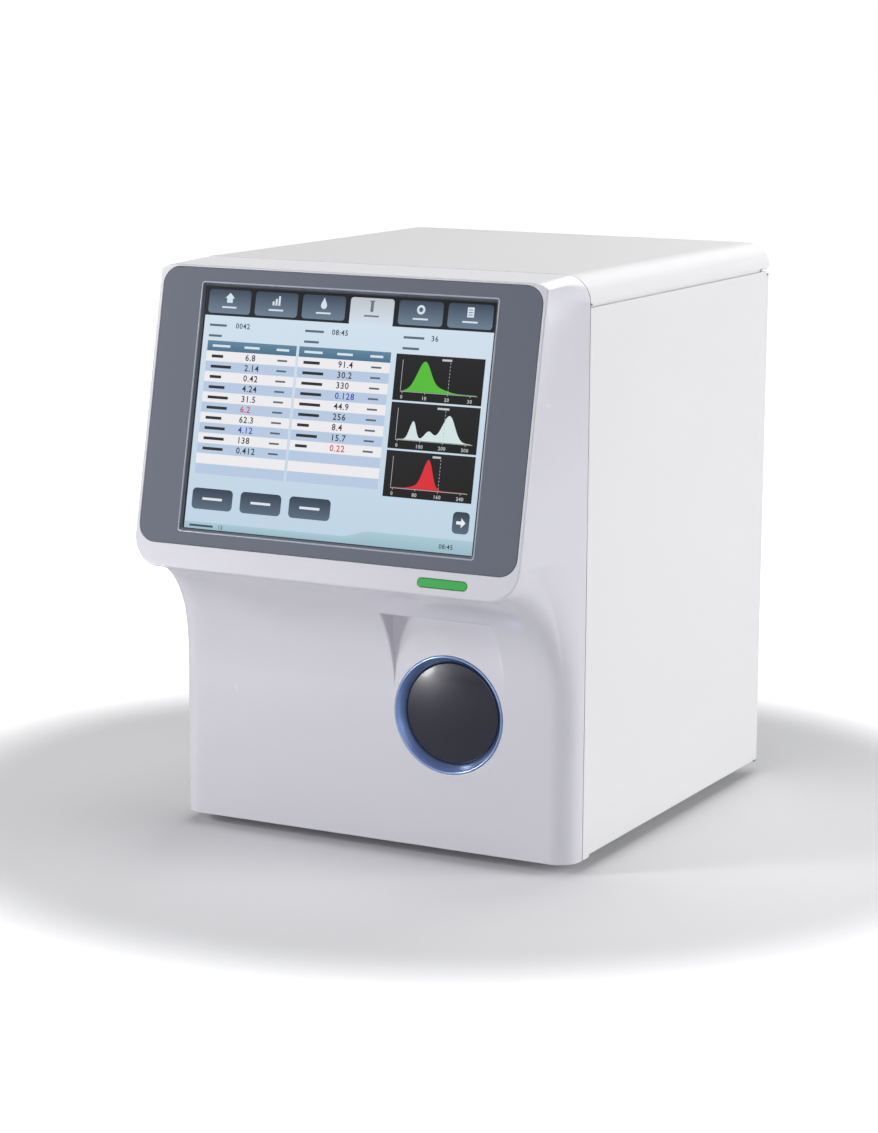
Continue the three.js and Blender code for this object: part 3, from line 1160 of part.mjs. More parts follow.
addPiece('sampling_plate', samplingPlate(), zincSteel);
addPiece('travel_rail', travelRail(), brightSteel);
addPiece('travel_motor', travelMotor(), blackPlastic);
addPiece('motor_pulley', motorPulley(), aluminium);
addPiece('idler_pulley', idlerPulley(), aluminium);
addPiece('travel_belt', travelBelt(), rubber);
addPiece('probe_carriage', probeCarriage(), aluminium);
addPiece('lift_motor', liftMotor(), blackPlastic);
addPiece('lift_screw', liftScrew(), brightSteel);
addPiece('probe_holder', probeHolder(), naturalPlastic);
addPiece('sample_probe', sampleProbe(), brightSteel);
addPiece('probe_wipe', probeWipe(), clearPlastic);

addPiece('bath_bracket', bathBracket(), zincSteel);
addPiece('wbc_bath', bathCup(bath.first), clearPlastic);
addPiece('rbc_bath', bathCup(bath.second), clearPlastic);

addPiece('syringe_frame', syringeFrame(), aluminium);
addPiece('diluent_barrel', barrel(diluent), clearPlastic);
addPiece('lyse_barrel', barrel(lyse), clearPlastic);
addPiece('plunger_carrier', plungerCarrier(), naturalPlastic);
addPiece('syringe_screw', syringeScrew(), brightSteel);
addPiece('syringe_motor', syringeMotor(), blackPlastic);

addPiece('valve_bank', valveBank(), naturalPlastic);
addPiece('waste_pump', wastePump(), blackPlastic);
addPiece('vacuum_pump', vacuumPump(), aluminium);
addPiece('vacuum_chamber', vacuumChamber(), clearPlastic);
addPiece('main_board', mainBoard(), greenBoard);
addPiece('power_supply', powerSupply(), zincSteel);

addPiece('fan_housing', fanHousing(), blackPlastic);
addPiece('fan_rotor', fanRotor(), blackPlastic);
addPiece('fan_guard', fanGuard(), brightSteel);
addPiece('mains_inlet', mainsInlet(), blackPlastic);
addPiece('power_switch', switchHousing(), blackPlastic);
addPiece('power_rocker', rockerKey(), blackPlastic);
addPiece('port_plate', portPlate(), naturalPlastic);
addPiece('connector_block', connectorBlock(), zincSteel);

// The whole stands with the middle of its footprint at the origin
const rearReach = rearOut + ports.thick + ports.barbLong;
analyzer.position.y = (head.reach - rearReach) / 2;

export default analyzer;
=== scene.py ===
"""Looks for a benchtop blood cell analyzer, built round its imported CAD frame.

Lengths in the classes are millimetres in the housing's own axes: x across, y to the back
from the seam behind the front cover, z up from the table. Meshes are in metres.
"""
import logging
from collections.abc import Callable, Iterable, Sequence
from dataclasses import dataclass, field
from enum import Enum
from typing import ClassVar

import bmesh
import bpy
import numpy as np
from mathutils import Matrix, Vector


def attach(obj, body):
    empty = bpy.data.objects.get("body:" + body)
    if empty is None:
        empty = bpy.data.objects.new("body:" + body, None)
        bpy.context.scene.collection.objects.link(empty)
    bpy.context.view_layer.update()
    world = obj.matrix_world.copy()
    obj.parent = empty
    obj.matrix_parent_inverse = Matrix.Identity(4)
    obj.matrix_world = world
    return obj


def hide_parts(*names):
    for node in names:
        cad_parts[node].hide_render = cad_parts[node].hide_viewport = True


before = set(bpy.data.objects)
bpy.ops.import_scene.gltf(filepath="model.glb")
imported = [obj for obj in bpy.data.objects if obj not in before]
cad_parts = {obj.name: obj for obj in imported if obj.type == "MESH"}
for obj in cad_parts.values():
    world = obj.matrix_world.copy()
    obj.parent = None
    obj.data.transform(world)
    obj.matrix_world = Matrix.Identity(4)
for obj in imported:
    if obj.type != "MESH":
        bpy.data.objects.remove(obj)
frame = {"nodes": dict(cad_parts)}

log = logging.getLogger("analyzer")

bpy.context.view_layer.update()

MM = 0.001
NEAR = 1e-6
TINY = 1e-9
SEAM_Y = -116.25
SCREEN_LAYER = "screen_colour"
SHADER = "Principled BSDF"
COLOR, VALUE, VECTOR = "NodeSocketColor", "NodeSocketFloat", "NodeSocketVector"

Inputs = dict[str | int, object]


def linear(code: str) -> tuple[float, float, float, float]:
    """Turns a display colour into the linear values that shaders work in.

    Args:
        code: six hexadecimal digits, red, green and blue.

    Returns:
        Red, green, blue and an alpha of 1. Each channel follows the display curve: a
        straight start up to 0.04045, then the power 2.4 of its shifted share.
    """
    channels = [int(code[i:i + 2], 16) / 255 for i in (0, 2, 4)]
    red, green, blue = (c / 12.92 if c <= 0.04045 else ((c + 0.055) / 1.055) ** 2.4 for c in channels)
    return red, green, blue, 1.0


def row_frame(points: np.ndarray) -> np.ndarray:
    """Moves points from housing millimetres to the row frame's metres."""
    return (np.asarray(points, float) + np.array([0.0, SEAM_Y, 0.0])) * MM


class NodeTree:
    """Short calls for laying out one material's or group's nodes."""

    def __init__(self, tree: bpy.types.NodeTree) -> None:
        """Keeps the tree that the nodes go into."""
        self.tree = tree

    def feed(self, node: bpy.types.Node, inputs: Inputs) -> None:
        """Sets a node's inputs.

        Args:
            node: the node.
            inputs: values or other nodes' outputs, by the input's name or index.
        """
        for name, value in inputs.items():
            if isinstance(value, bpy.types.NodeSocket):
                self.tree.links.new(value, node.inputs[name])
            else:
                node.inputs[name].default_value = value

    def add(self, kind: str, inputs: Inputs | None = None, **settings: object) -> bpy.types.Node:
        """Adds a node.

        Args:
            kind: the node's Blender type name.
            inputs: values or other nodes' outputs, by the input's name or index.
            settings: plain properties of the node, set before its inputs.

        Returns:
            The new node.
        """
        node = self.tree.nodes.new(kind)
        for name, value in settings.items():
            setattr(node, name, value)
        self.feed(node, inputs or {})
        return node

    def math(self, operation: str, *values: object) -> bpy.types.NodeSocket:
        """Adds a step of arithmetic on numbers and outputs, and gives its result."""
        return self.add("ShaderNodeMath", dict(enumerate(values)), operation=operation).outputs[0]

    def mixed(self, factor: object, first: object, second: object) -> bpy.types.NodeSocket:
        """Mixes two colours: the first at a factor of 0 and the second at 1."""
        return self.add("ShaderNodeMix", {"Factor": factor, "A": first, "B": second},
                        data_type="RGBA").outputs["Result"]

    def noise(self, place: object, scale: object, detail: float) -> bpy.types.NodeSocket:
        """Adds a noise and gives its level."""
        made = self.add("ShaderNodeTexNoise", {"Vector": place, "Scale": scale, "Detail": detail})
        return made.outputs["Fac"]

    def swing(self, noise: bpy.types.NodeSocket, spread: object, base: object) -> bpy.types.NodeSocket:
        """Gives the base plus the spread times what a noise has over a half."""
        return self.math("MULTIPLY_ADD", self.math("ADD", noise, -0.5), spread, base)


class Effect(Enum):
    """The shared surface effects, each one a node group built once."""

    TONE = "surface_tone"
    GRAIN = "moulded_grain"
    BRUSHED = "brushed_lines"
    BOARD = "circuit_traces"

    def group(self) -> bpy.types.NodeTree:
        """Finds the effect's node group, and builds it on first use.

        Returns:
            The group, the same one each time.
        """
        builders = {Effect.TONE: build_tone, Effect.GRAIN: build_grain,
                    Effect.BRUSHED: build_brushed, Effect.BOARD: build_board}
        return bpy.data.node_groups.get(self.value) or builders[self](self.value)


def group_tree(name: str, inputs: dict[str, object], outputs: dict[str, str]
               ) -> tuple[NodeTree, bpy.types.NodeOutputs, bpy.types.Node]:
    """Starts a shader node group that works on coordinates.

    Args:
        name: the group's name.
        inputs: the starting values of its inputs after Vector. Four numbers make a colour,
            three a vector, and one a plain value.
        outputs: socket type of each output.

    Returns:
        The tree, the sockets that its inputs arrive at, and its output node.
    """
    tree = bpy.data.node_groups.new(name, "ShaderNodeTree")
    tree.interface.new_socket(name="Vector", in_out="INPUT", socket_type=VECTOR)
    for label, value in inputs.items():
        kind = {3: VECTOR, 4: COLOR}.get(np.size(value), VALUE)
        tree.interface.new_socket(name=label, in_out="INPUT", socket_type=kind).default_value = value
    for label, kind in outputs.items():
        tree.interface.new_socket(name=label, in_out="OUTPUT", socket_type=kind)
    nodes = NodeTree(tree)
    return nodes, nodes.add("NodeGroupInput").outputs, nodes.add("NodeGroupOutput")


def build_tone(name: str) -> bpy.types.NodeTree:
    """Builds the tone effect: a colour that drifts a little lighter and darker over a hand's breadth.

    Args:
        name: the group's name.

    Returns:
        The group. Its colour is the given one times one plus the drift times a centred noise.
    """
    nodes, given, end = group_tree(name, {"Color": (1.0, 1.0, 1.0, 1.0), "Drift": 0.03, "Scale": 9.0},
                                   {"Color": COLOR})
    level = nodes.swing(nodes.noise(given["Vector"], given["Scale"], 3.0), given["Drift"], 1.0)
    tinted = nodes.add("ShaderNodeVectorMath", {0: given["Color"], "Scale": level}, operation="SCALE")
    nodes.feed(end, {"Color": tinted.outputs[0]})
    return nodes.tree


def build_grain(name: str) -> bpy.types.NodeTree:
    """Builds the moulded grain: fine spark-eroded pits over a slow ripple.

    Args:
        name: the group's name.

    Returns:
        The group, with a height for bumps and a roughness that follows the ripple.
    """
    nodes, given, end = group_tree(name, {"Scale": 1400.0, "Roughness": 0.4, "Spread": 0.08},
                                   {"Height": VALUE, "Roughness": VALUE})
    pits = nodes.noise(given["Vector"], given["Scale"], 2.0)
    ripple = nodes.noise(given["Vector"], 14.0, 4.0)
    nodes.feed(end, {"Height": pits, "Roughness": nodes.swing(ripple, given["Spread"], given["Roughness"])})
    return nodes.tree


def build_brushed(name: str) -> bpy.types.NodeTree:
    """Builds brushed metal: noise drawn out long along one axis.

    Args:
        name: the group's name.

    Returns:
        The group, with a height and a roughness that follow the lines.
    """
    nodes, given, end = group_tree(name, {"Stretch": (60.0, 60.0, 2600.0), "Roughness": 0.35, "Spread": 0.2},
                                   {"Height": VALUE, "Roughness": VALUE})
    drawn = nodes.add("ShaderNodeVectorMath", {0: given["Vector"], 1: given["Stretch"]},
                      operation="MULTIPLY")
    lines = nodes.noise(drawn.outputs[0], 1.0, 3.0)
    nodes.feed(end, {"Height": lines, "Roughness": nodes.swing(lines, given["Spread"], given["Roughness"])})
    return nodes.tree


def build_board(name: str) -> bpy.types.NodeTree:
    """Builds circuit traces: thin lanes between cells of uneven size, and the joints of a brick grid.

    Args:
        name: the group's name.

    Returns:
        The group, with a mask that is 1 on the traces.
    """
    nodes, given, end = group_tree(name, {"Scale": 260.0}, {"Mask": VALUE})
    cells = nodes.add("ShaderNodeTexVoronoi", {"Vector": given["Vector"], "Scale": given["Scale"]},
                      feature="DISTANCE_TO_EDGE")
    lanes = nodes.add("ShaderNodeTexBrick", {"Vector": given["Vector"], "Scale": 90.0, "Mortar Size": 0.012})
    near = nodes.math("LESS_THAN", cells.outputs["Distance"], 0.035)
    nodes.feed(end, {"Mask": nodes.math("MAXIMUM", near, lanes.outputs["Fac"])})
    return nodes.tree


class Paint(NodeTree):
    """A new material's nodes, with its shader and its object coordinates."""

    def __init__(self, name: str) -> None:
        """Starts the material.

        Args:
            name: the material's name.
        """
        self.material = bpy.data.materials.new(name)
        self.material.use_nodes = True
        super().__init__(self.material.node_tree)
        self.place = self.add("ShaderNodeTexCoord").outputs["Object"]

    def shader(self, inputs: Inputs) -> None:
        """Sets inputs of the material's Principled BSDF."""
        self.feed(self.tree.nodes[SHADER], inputs)

    def effect(self, effect: Effect, **values: object) -> bpy.types.NodeOutputs:
        """Places a shared effect with its own values, and gives its outputs."""
        inputs = {"Vector": self.place, **values}
        return self.add("ShaderNodeGroup", inputs, node_tree=effect.group()).outputs


@dataclass(frozen=True)
class Finish:
    """One surface finish: a base colour with drift, a grain that sets roughness and bumps."""

    name: str
    slot: str
    colour: str
    roughness: float = 0.4
    spread: float = 0.06
    metallic: float = 0.0
    coat: float = 0.0
    coat_roughness: float = 0.08
    drift: float = 0.03
    grain_scale: float = 1400.0
    grain_depth: float = 0.02
    specular: float = 0.5

    def material(self) -> bpy.types.Material:
        """Finds the finish's material, and builds it on first use.

        Returns:
            The material, the same one each time.
        """
        found = bpy.data.materials.get(self.name)
        if found is None:
            paint = Paint(self.name)
            paint.shader({"Metallic": self.metallic, "Coat Weight": self.coat,
                          "Coat Roughness": self.coat_roughness, "Specular IOR Level": self.specular})
            self.shade(paint)
            found = paint.material
        return found

    def shade(self, paint: Paint) -> None:
        """Feeds the shader's colour, roughness and bumps."""
        paint.shader({"Base Color": self.base(paint)})
        self.relief(paint)

    def base(self, paint: Paint) -> bpy.types.NodeSocket:
        """Gives the surface's own colour."""
        return self.toned(paint, self.colour)

    def relief(self, paint: Paint) -> None:
        """Feeds the shader from the moulded grain."""
        self.textured(paint, Effect.GRAIN, Scale=self.grain_scale)

    def toned(self, paint: Paint, colour: str) -> bpy.types.NodeSocket:
        """Gives a colour with this finish's drift over the surface."""
        return paint.effect(Effect.TONE, Color=linear(colour), Drift=self.drift)["Color"]

    def textured(self, paint: Paint, effect: Effect, **values: object) -> None:
        """Feeds the shader's roughness and bumps from an effect.

        Args:
            paint: the material's nodes.
            effect: one with Height and Roughness outputs.
            values: its inputs besides the finish's roughness and spread.
        """
        made = paint.effect(effect, Roughness=self.roughness, Spread=self.spread, **values)
        bump = paint.add("ShaderNodeBump", {"Distance": self.grain_depth * MM, "Height": made["Height"]})
        paint.shader({"Roughness": made["Roughness"], "Normal": bump.outputs["Normal"]})


@dataclass(frozen=True)
class Metal(Finish):
    """Sheet or machined metal with a brushed or rolled direction."""

    metallic: float = 1.0
    stretch: tuple[float, float, float] = (60.0, 60.0, 2600.0)

    def relief(self, paint: Paint) -> None:
        """Feeds the shader from the brushed lines."""
        self.textured(paint, Effect.BRUSHED, Stretch=self.stretch)


@dataclass(frozen=True)
class Lit(Finish):
    """A tinted plastic that light comes through, such as a lens or a light ring."""

    glow: str = "000000"
    strength: float = 0.5

    def shade(self, paint: Paint) -> None:
        """Adds the glow to the plain finish."""
        super().shade(paint)
        paint.shader({"Emission Strength": self.strength, "Emission Color": self.toned(paint, self.glow)})


@dataclass(frozen=True)
class Board(Finish):
    """Green solder resist with paler traces."""

    trace: str = "3f8f5f"

    def base(self, paint: Paint) -> bpy.types.NodeSocket:
        """Mixes the traces into the board's colour."""
        return paint.mixed(paint.effect(Effect.BOARD)["Mask"], super().base(paint), linear(self.trace))


@dataclass(frozen=True)
class Clear(Finish):
    """Clear acrylic, seen through with a plain transmission."""

    clearness: float = 0.85
    bending: float = 1.49

    def shade(self, paint: Paint) -> None:
        """Sets the transmission, then the plain finish."""
        paint.shader({"Transmission Weight": self.clearness, "IOR": self.bending})
        super().shade(paint)


@dataclass(frozen=True)
class ScreenImage(Finish):
    """The lit picture behind the touch glass, with its colours in the mesh."""

    strength: float = 0.92

    def shade(self, paint: Paint) -> None:
        """Adds the glow of the picture's own colours to the plain finish.

        Args:
            paint: the material's nodes.
        """
        super().shade(paint)
        colours = paint.add("ShaderNodeVertexColor", layer_name=SCREEN_LAYER)
        paint.shader({"Emission Strength": self.strength, "Emission Color": colours.outputs["Color"]})


COVER_WHITE = Finish("cover_white", "white_plastic", "dcdbe4", roughness=0.26, coat=0.4, grain_depth=0.008)
PANEL_WHITE = Finish("panel_white", "white_panel", "e9e8ea", roughness=0.42, grain_scale=900.0)
BEZEL_SLATE = Finish("bezel_slate", "slate_plastic", "585e6e", roughness=0.5, coat=0.5, grain_depth=0.015,
                     specular=0.3)
# Pale gloss for the bead round the screen window: a painted highlight of the window's edge, lighter than the
# slate bezel.
WINDOW_EDGE_HIGHLIGHT = Finish("rim_gloss", "slate_plastic", "a7adbc", roughness=0.16, coat=1.0, grain_depth=0.0)
DARK_PLASTIC = Finish("dark_plastic", "black_plastic", "1d1e21", roughness=0.5)
KEY_CHARCOAL = Finish("key_charcoal", "charcoal_gloss", "18172c", roughness=0.26, coat=0.3, grain_depth=0.0,
                      specular=0.4)
RING_BLUE = Lit("ring_blue", "blue_ring", "86a2d8", roughness=0.2, metallic=0.6, coat=1.0, glow="3f74c8",
                strength=0.02)
LENS_GREEN = Lit("lens_green", "green_lens", "1f8f38", roughness=0.25, glow="2aa544", strength=0.3)
TOUCH_GLASS = Finish("touch_glass", "screen_glass", "0a0b0d", roughness=0.08, coat=0.3, grain_depth=0.0)
SCREEN_LIT = ScreenImage("screen_lit", "screen_glass", "030303", roughness=0.14, grain_depth=0.0,
                         specular=0.2)
ZINC = Metal("zinc_sheet", "zinc_steel", "9a9ea2", roughness=0.42)
BRIGHT = Metal("bright_steel", "bright_steel", "d4d6d8", roughness=0.2, spread=0.1)
ALLOY = Metal("anodised_alloy", "aluminium", "bfc3c7", roughness=0.36)
# Dark grey zinc for the front frame behind the cover seams: painted shade, so that the seams read dark.
SEAM_SHADE_ZINC = Metal("frame_zinc", "zinc_steel", "4c4f53", roughness=0.5)
RUBBER = Finish("foot_rubber", "rubber", "242428", roughness=0.85, grain_depth=0.05)
BOARD = Board("board_green", "green_board", "17603a", roughness=0.45)
ACRYLIC = Clear("clear_acrylic", "clear_plastic", "e6f0f4", roughness=0.06, grain_depth=0.0)
NATURAL = Finish("natural_plastic", "natural_plastic", "e4e0d2", roughness=0.5)


def new_piece(name: str, corners: np.ndarray, faces: Sequence, finish: Finish, body: str,
              smooth: bool = True) -> bpy.types.Object:
    """Makes a new piece with its place in its mesh.

    Args:
        name: the piece's name.
        corners: n by 3 places in metres, in the row frame.
        faces: corner numbers of each face.
        finish: what it is made of.
        body: the moving body that it rides on.
        smooth: whether its faces shade smoothly.

    Returns:
        The object, at the origin and unturned.
    """
    mesh = bpy.data.meshes.new(name)
    mesh.from_pydata(np.asarray(corners, float).tolist(), [], [list(face) for face in faces])
    if smooth:
        mesh.shade_smooth()
    mesh.materials.append(finish.material())
    piece = bpy.data.objects.new(name, mesh)
    bpy.context.scene.collection.objects.link(piece)
    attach(piece, body)
    log.info("piece %s: %d corners", name, len(corners))
    return piece


def broken_edges(piece: bpy.types.Object, width: float, segments: int, angle: float) -> bpy.types.Modifier:
    """Bevels a piece's sharp edges and evens its shading.

    Args:
        piece: the piece.
        width: the bevel's width in millimetres.
        segments: how many faces each bevel has across.
        angle: the least angle of a sharp edge, in degrees.

    Returns:
        The bevel.
    """
    bevel = piece.modifiers.new("broken_edges", "BEVEL")
    bevel.width = width * MM
    bevel.segments = segments
    bevel.limit_method = "ANGLE"
    bevel.angle_limit = np.radians(angle)
    piece.modifiers.new("even_shading", "WEIGHTED_NORMAL")
    return bevel


def soften_cut_edges(piece: bpy.types.Object, width: float = 0.35) -> None:
    """Breaks the sharp cut edges of a new piece.

    Args:
        piece: the piece.
        width: the width of the broken edge in millimetres.
    """
    piece.data.shade_smooth()
    broken_edges(piece, width, 2, 50.0).use_clamp_overlap = False


@dataclass(frozen=True)
class Softening:
    """How a rigid node's sharp edges are broken, as a mould or a deburring tool leaves them."""

    width: float = 0.4
    angle: float = 32.0
    segments: int = 2
    flatness: float = 0.4

    def apply(self, node: bpy.types.Object) -> None:
        """Adds the modifiers that join a node's loose triangles and round its edges.

        Args:
            node: the CAD node. Its own mesh keeps its corners.
        """
        node.data.shade_smooth()
        node.modifiers.new("joined", "WELD").merge_threshold = NEAR
        if not self.width:
            node.modifiers.new("sharp_edges", "EDGE_SPLIT").split_angle = np.radians(self.angle)
            return
        flats = node.modifiers.new("flats", "DECIMATE")
        flats.decimate_type = "DISSOLVE"
        flats.angle_limit = np.radians(self.flatness)
        broken_edges(node, self.width, self.segments, self.angle)


MOULDED = Softening(0.6)
SHEET = Softening(0.3)
MACHINED = Softening(0.35)
FINE = Softening(0.15, segments=1)
SMOOTH = Softening(0.0)

Dressing = dict[str, tuple[Finish, Softening]]


def dressing(*groups: tuple[Finish, Softening, str]) -> Dressing:
    """Gives each node its finish and softening, from groups whose names stand in one string."""
    return {name: (finish, softening) for finish, softening, names in groups for name in names.split()}


@dataclass
class SubAssembly:
    """A group of CAD nodes with the finish and the softening that each one gets."""

    nodes: dict[str, bpy.types.Object]
    finishes: ClassVar[Dressing] = {}

    def build(self) -> None:
        """Makes the pieces that the CAD nodes don't have. Most sub-assemblies need none."""

    def dress(self) -> None:
        """Gives each node its finish and its softened edges."""
        for name, (finish, softening) in self.finishes.items():
            node = self.nodes[name]
            node.data.materials.clear()
            node.data.materials.append(finish.material())
            softening.apply(node)
            log.info("node %s: %s", name, finish.name)


def rounded_outline(wide: float, high: float, corner: float, middle: tuple[float, float],
                    steps: int = 12) -> np.ndarray:
    """Gives a rounded rectangle's outline, or a circle's where the corner is half the width.

    Args:
        wide: its width.
        high: its height.
        corner: its corner radius.
        middle: its middle.
        steps: how many steps each corner takes.

    Returns:
        n by 2 places. Each corner is a quarter circle about a centre that stands in by its radius.
    """
    turn = np.linspace(0, np.pi / 2, steps + 1)
    quarter = np.add.outer(np.arange(4) * np.pi / 2, turn).ravel()
    centres = np.array([[1, 1], [-1, 1], [-1, -1], [1, -1]]) * (np.array([wide, high]) / 2 - corner)
    around = np.column_stack([np.cos(quarter), np.sin(quarter)])
    spots = np.repeat(centres, steps + 1, axis=0) + corner * around
    gaps = np.linalg.norm(spots - np.roll(spots, 1, axis=0), axis=1)
    return spots[gaps > NEAR] + np.array(middle)


def circle(across: float, middle: tuple[float, float], steps: int) -> np.ndarray:
    """Gives a circle's outline by its diameter, its middle and the steps of each quarter."""
    return rounded_outline(across, across, across / 2, middle, steps)


def ring_faces(rings: np.ndarray, looped: bool = False) -> list[list[int]]:
    """Joins rings of corners, one after another, with four-cornered faces.

    Args:
        rings: one row of corner numbers for each ring.
        looped: whether the last ring joins the first one again.

    Returns:
        The corner numbers of each face.
    """
    beside = np.roll(rings, -1, axis=1)
    quads = np.stack([rings, beside, np.roll(beside, -1, axis=0), np.roll(rings, -1, axis=0)], axis=-1)
    return (quads if looped else quads[:-1]).reshape(-1, 4).tolist()


def revolve(profile: Sequence[tuple[float, float]], axis: tuple[float, float, float], steps: int
            ) -> tuple[np.ndarray, list[list[int]]]:
    """Turns a closed profile round an axis that runs front to back.

    Args:
        profile: radius and depth of each point. Points on the axis share one corner.
        axis: where the axis starts.
        steps: steps round.

    Returns:
        Corners in metres and faces. A point at radius r, depth d and turn t lies at the axis
        plus r times the cosine across, d back and r times the sine up.
    """
    radius, depth = np.asarray(profile, float).T
    turn = np.linspace(0, 2 * np.pi, steps, endpoint=False)
    spots = np.stack([np.outer(radius, np.cos(turn)), np.outer(depth, np.ones(steps)),
                      np.outer(radius, np.sin(turn))], axis=-1) + np.array(axis)
    rings = np.arange(len(profile) * steps).reshape(len(profile), steps)
    return row_frame(spots.reshape(-1, 3)), ring_faces(rings, looped=True)


def cleaned(piece: bpy.types.Object, reach: float = NEAR, flatness: float = 0.1) -> None:
    """Merges a piece's doubled corners and flat faces, and turns its faces outwards.

    Args:
        piece: the piece.
        reach: how near two corners lie to count as one, in metres.
        flatness: the greatest angle between faces that count as one, in degrees.
    """
    form = bmesh.new()
    form.from_mesh(piece.data)
    bmesh.ops.remove_doubles(form, verts=form.verts, dist=reach)
    bmesh.ops.dissolve_degenerate(form, edges=form.edges, dist=reach)
    bmesh.ops.dissolve_limit(form, angle_limit=np.radians(flatness), verts=form.verts, edges=form.edges)
    bmesh.ops.recalc_face_normals(form, faces=form.faces)
    form.to_mesh(piece.data)
    form.free()


@dataclass
class HeadFrame:
    """The tilted screen face: across, inward and up along the face, in millimetres."""

    reach: float = 88.0
    lip_height: float = 194.8
    tilt: float = 11.76

    @property
    def turn(self) -> tuple[float, float]:
        """The sine and cosine of the face's tilt."""
        return float(np.sin(np.radians(self.tilt))), float(np.cos(np.radians(self.tilt)))

    def housed(self, points: np.ndarray) -> np.ndarray:
        """Turns places on the face into housing millimetres.

        Args:
            points: n by 3, with x across, depth inward from the face and height up along it.

        Returns:
            n by 3. The face leans back by the tilt: going up moves a point back by the sine and
            up by the cosine, and going in moves it back by the cosine and down by the sine.
        """
        across, inward, up = np.asarray(points, float).T
        sine, cosine = self.turn
        back = -self.reach + inward * cosine + up * sine
        high = self.lip_height - inward * sine + up * cosine
        return np.column_stack([across, back, high])

    def faced(self, points: np.ndarray) -> np.ndarray:
        """Turns housing millimetres into places on the face, the other way round.

        Args:
            points: n by 3, in housing millimetres.

        Returns:
            n by 3, with x across, depth inward from the face and height up along it.
        """
        across, back, high = np.asarray(points, float).T
        sine, cosine = self.turn
        inward = (back + self.reach) * cosine - (high - self.lip_height) * sine
        up = (back + self.reach) * sine + (high - self.lip_height) * cosine
        return np.column_stack([across, inward, up])

    def place(self, points: np.ndarray) -> np.ndarray:
        """Turns places on the face into the row frame's metres."""
        return row_frame(self.housed(points))


HEAD = HeadFrame()


def arc_drop(distance: np.ndarray, start: np.ndarray | float, radius: np.ndarray | float) -> np.ndarray:
    """Gives how far a circle has fallen away past its start.

    Args:
        distance: how far along each place lies.
        start: where the circle starts to fall.
        radius: its radius.

    Returns:
        The radius less the root of the radius squared less the way past the start squared.
    """
    along = np.clip(distance - start, 0, radius)
    return radius - np.sqrt(radius ** 2 - along ** 2)


@dataclass
class Cutter:
    """A prism that is added to the cover or taken out of it."""

    outline: np.ndarray
    start: float
    end: float
    place: Callable[[np.ndarray], np.ndarray]
    added: bool = False

    def form(self, name: str) -> bpy.types.Object:
        """Makes the prism: its outline at both ends, with side faces between.

        Args:
            name: the helper's name.

        Returns:
            The helper object.
        """
        count = len(self.outline)
        ends = [np.insert(self.outline, 1, depth, axis=1) for depth in (self.start, self.end)]
        rings = np.arange(2 * count).reshape(2, count)
        faces = [*ring_faces(rings), rings[0, ::-1].tolist(), rings[1].tolist()]
        mesh = bpy.data.meshes.new(name)
        mesh.from_pydata(row_frame(self.place(np.concatenate(ends))).tolist(), [], faces)
        helper = bpy.data.objects.new(name, mesh)
        bpy.context.scene.collection.objects.link(helper)
        cleaned(helper)
        return helper


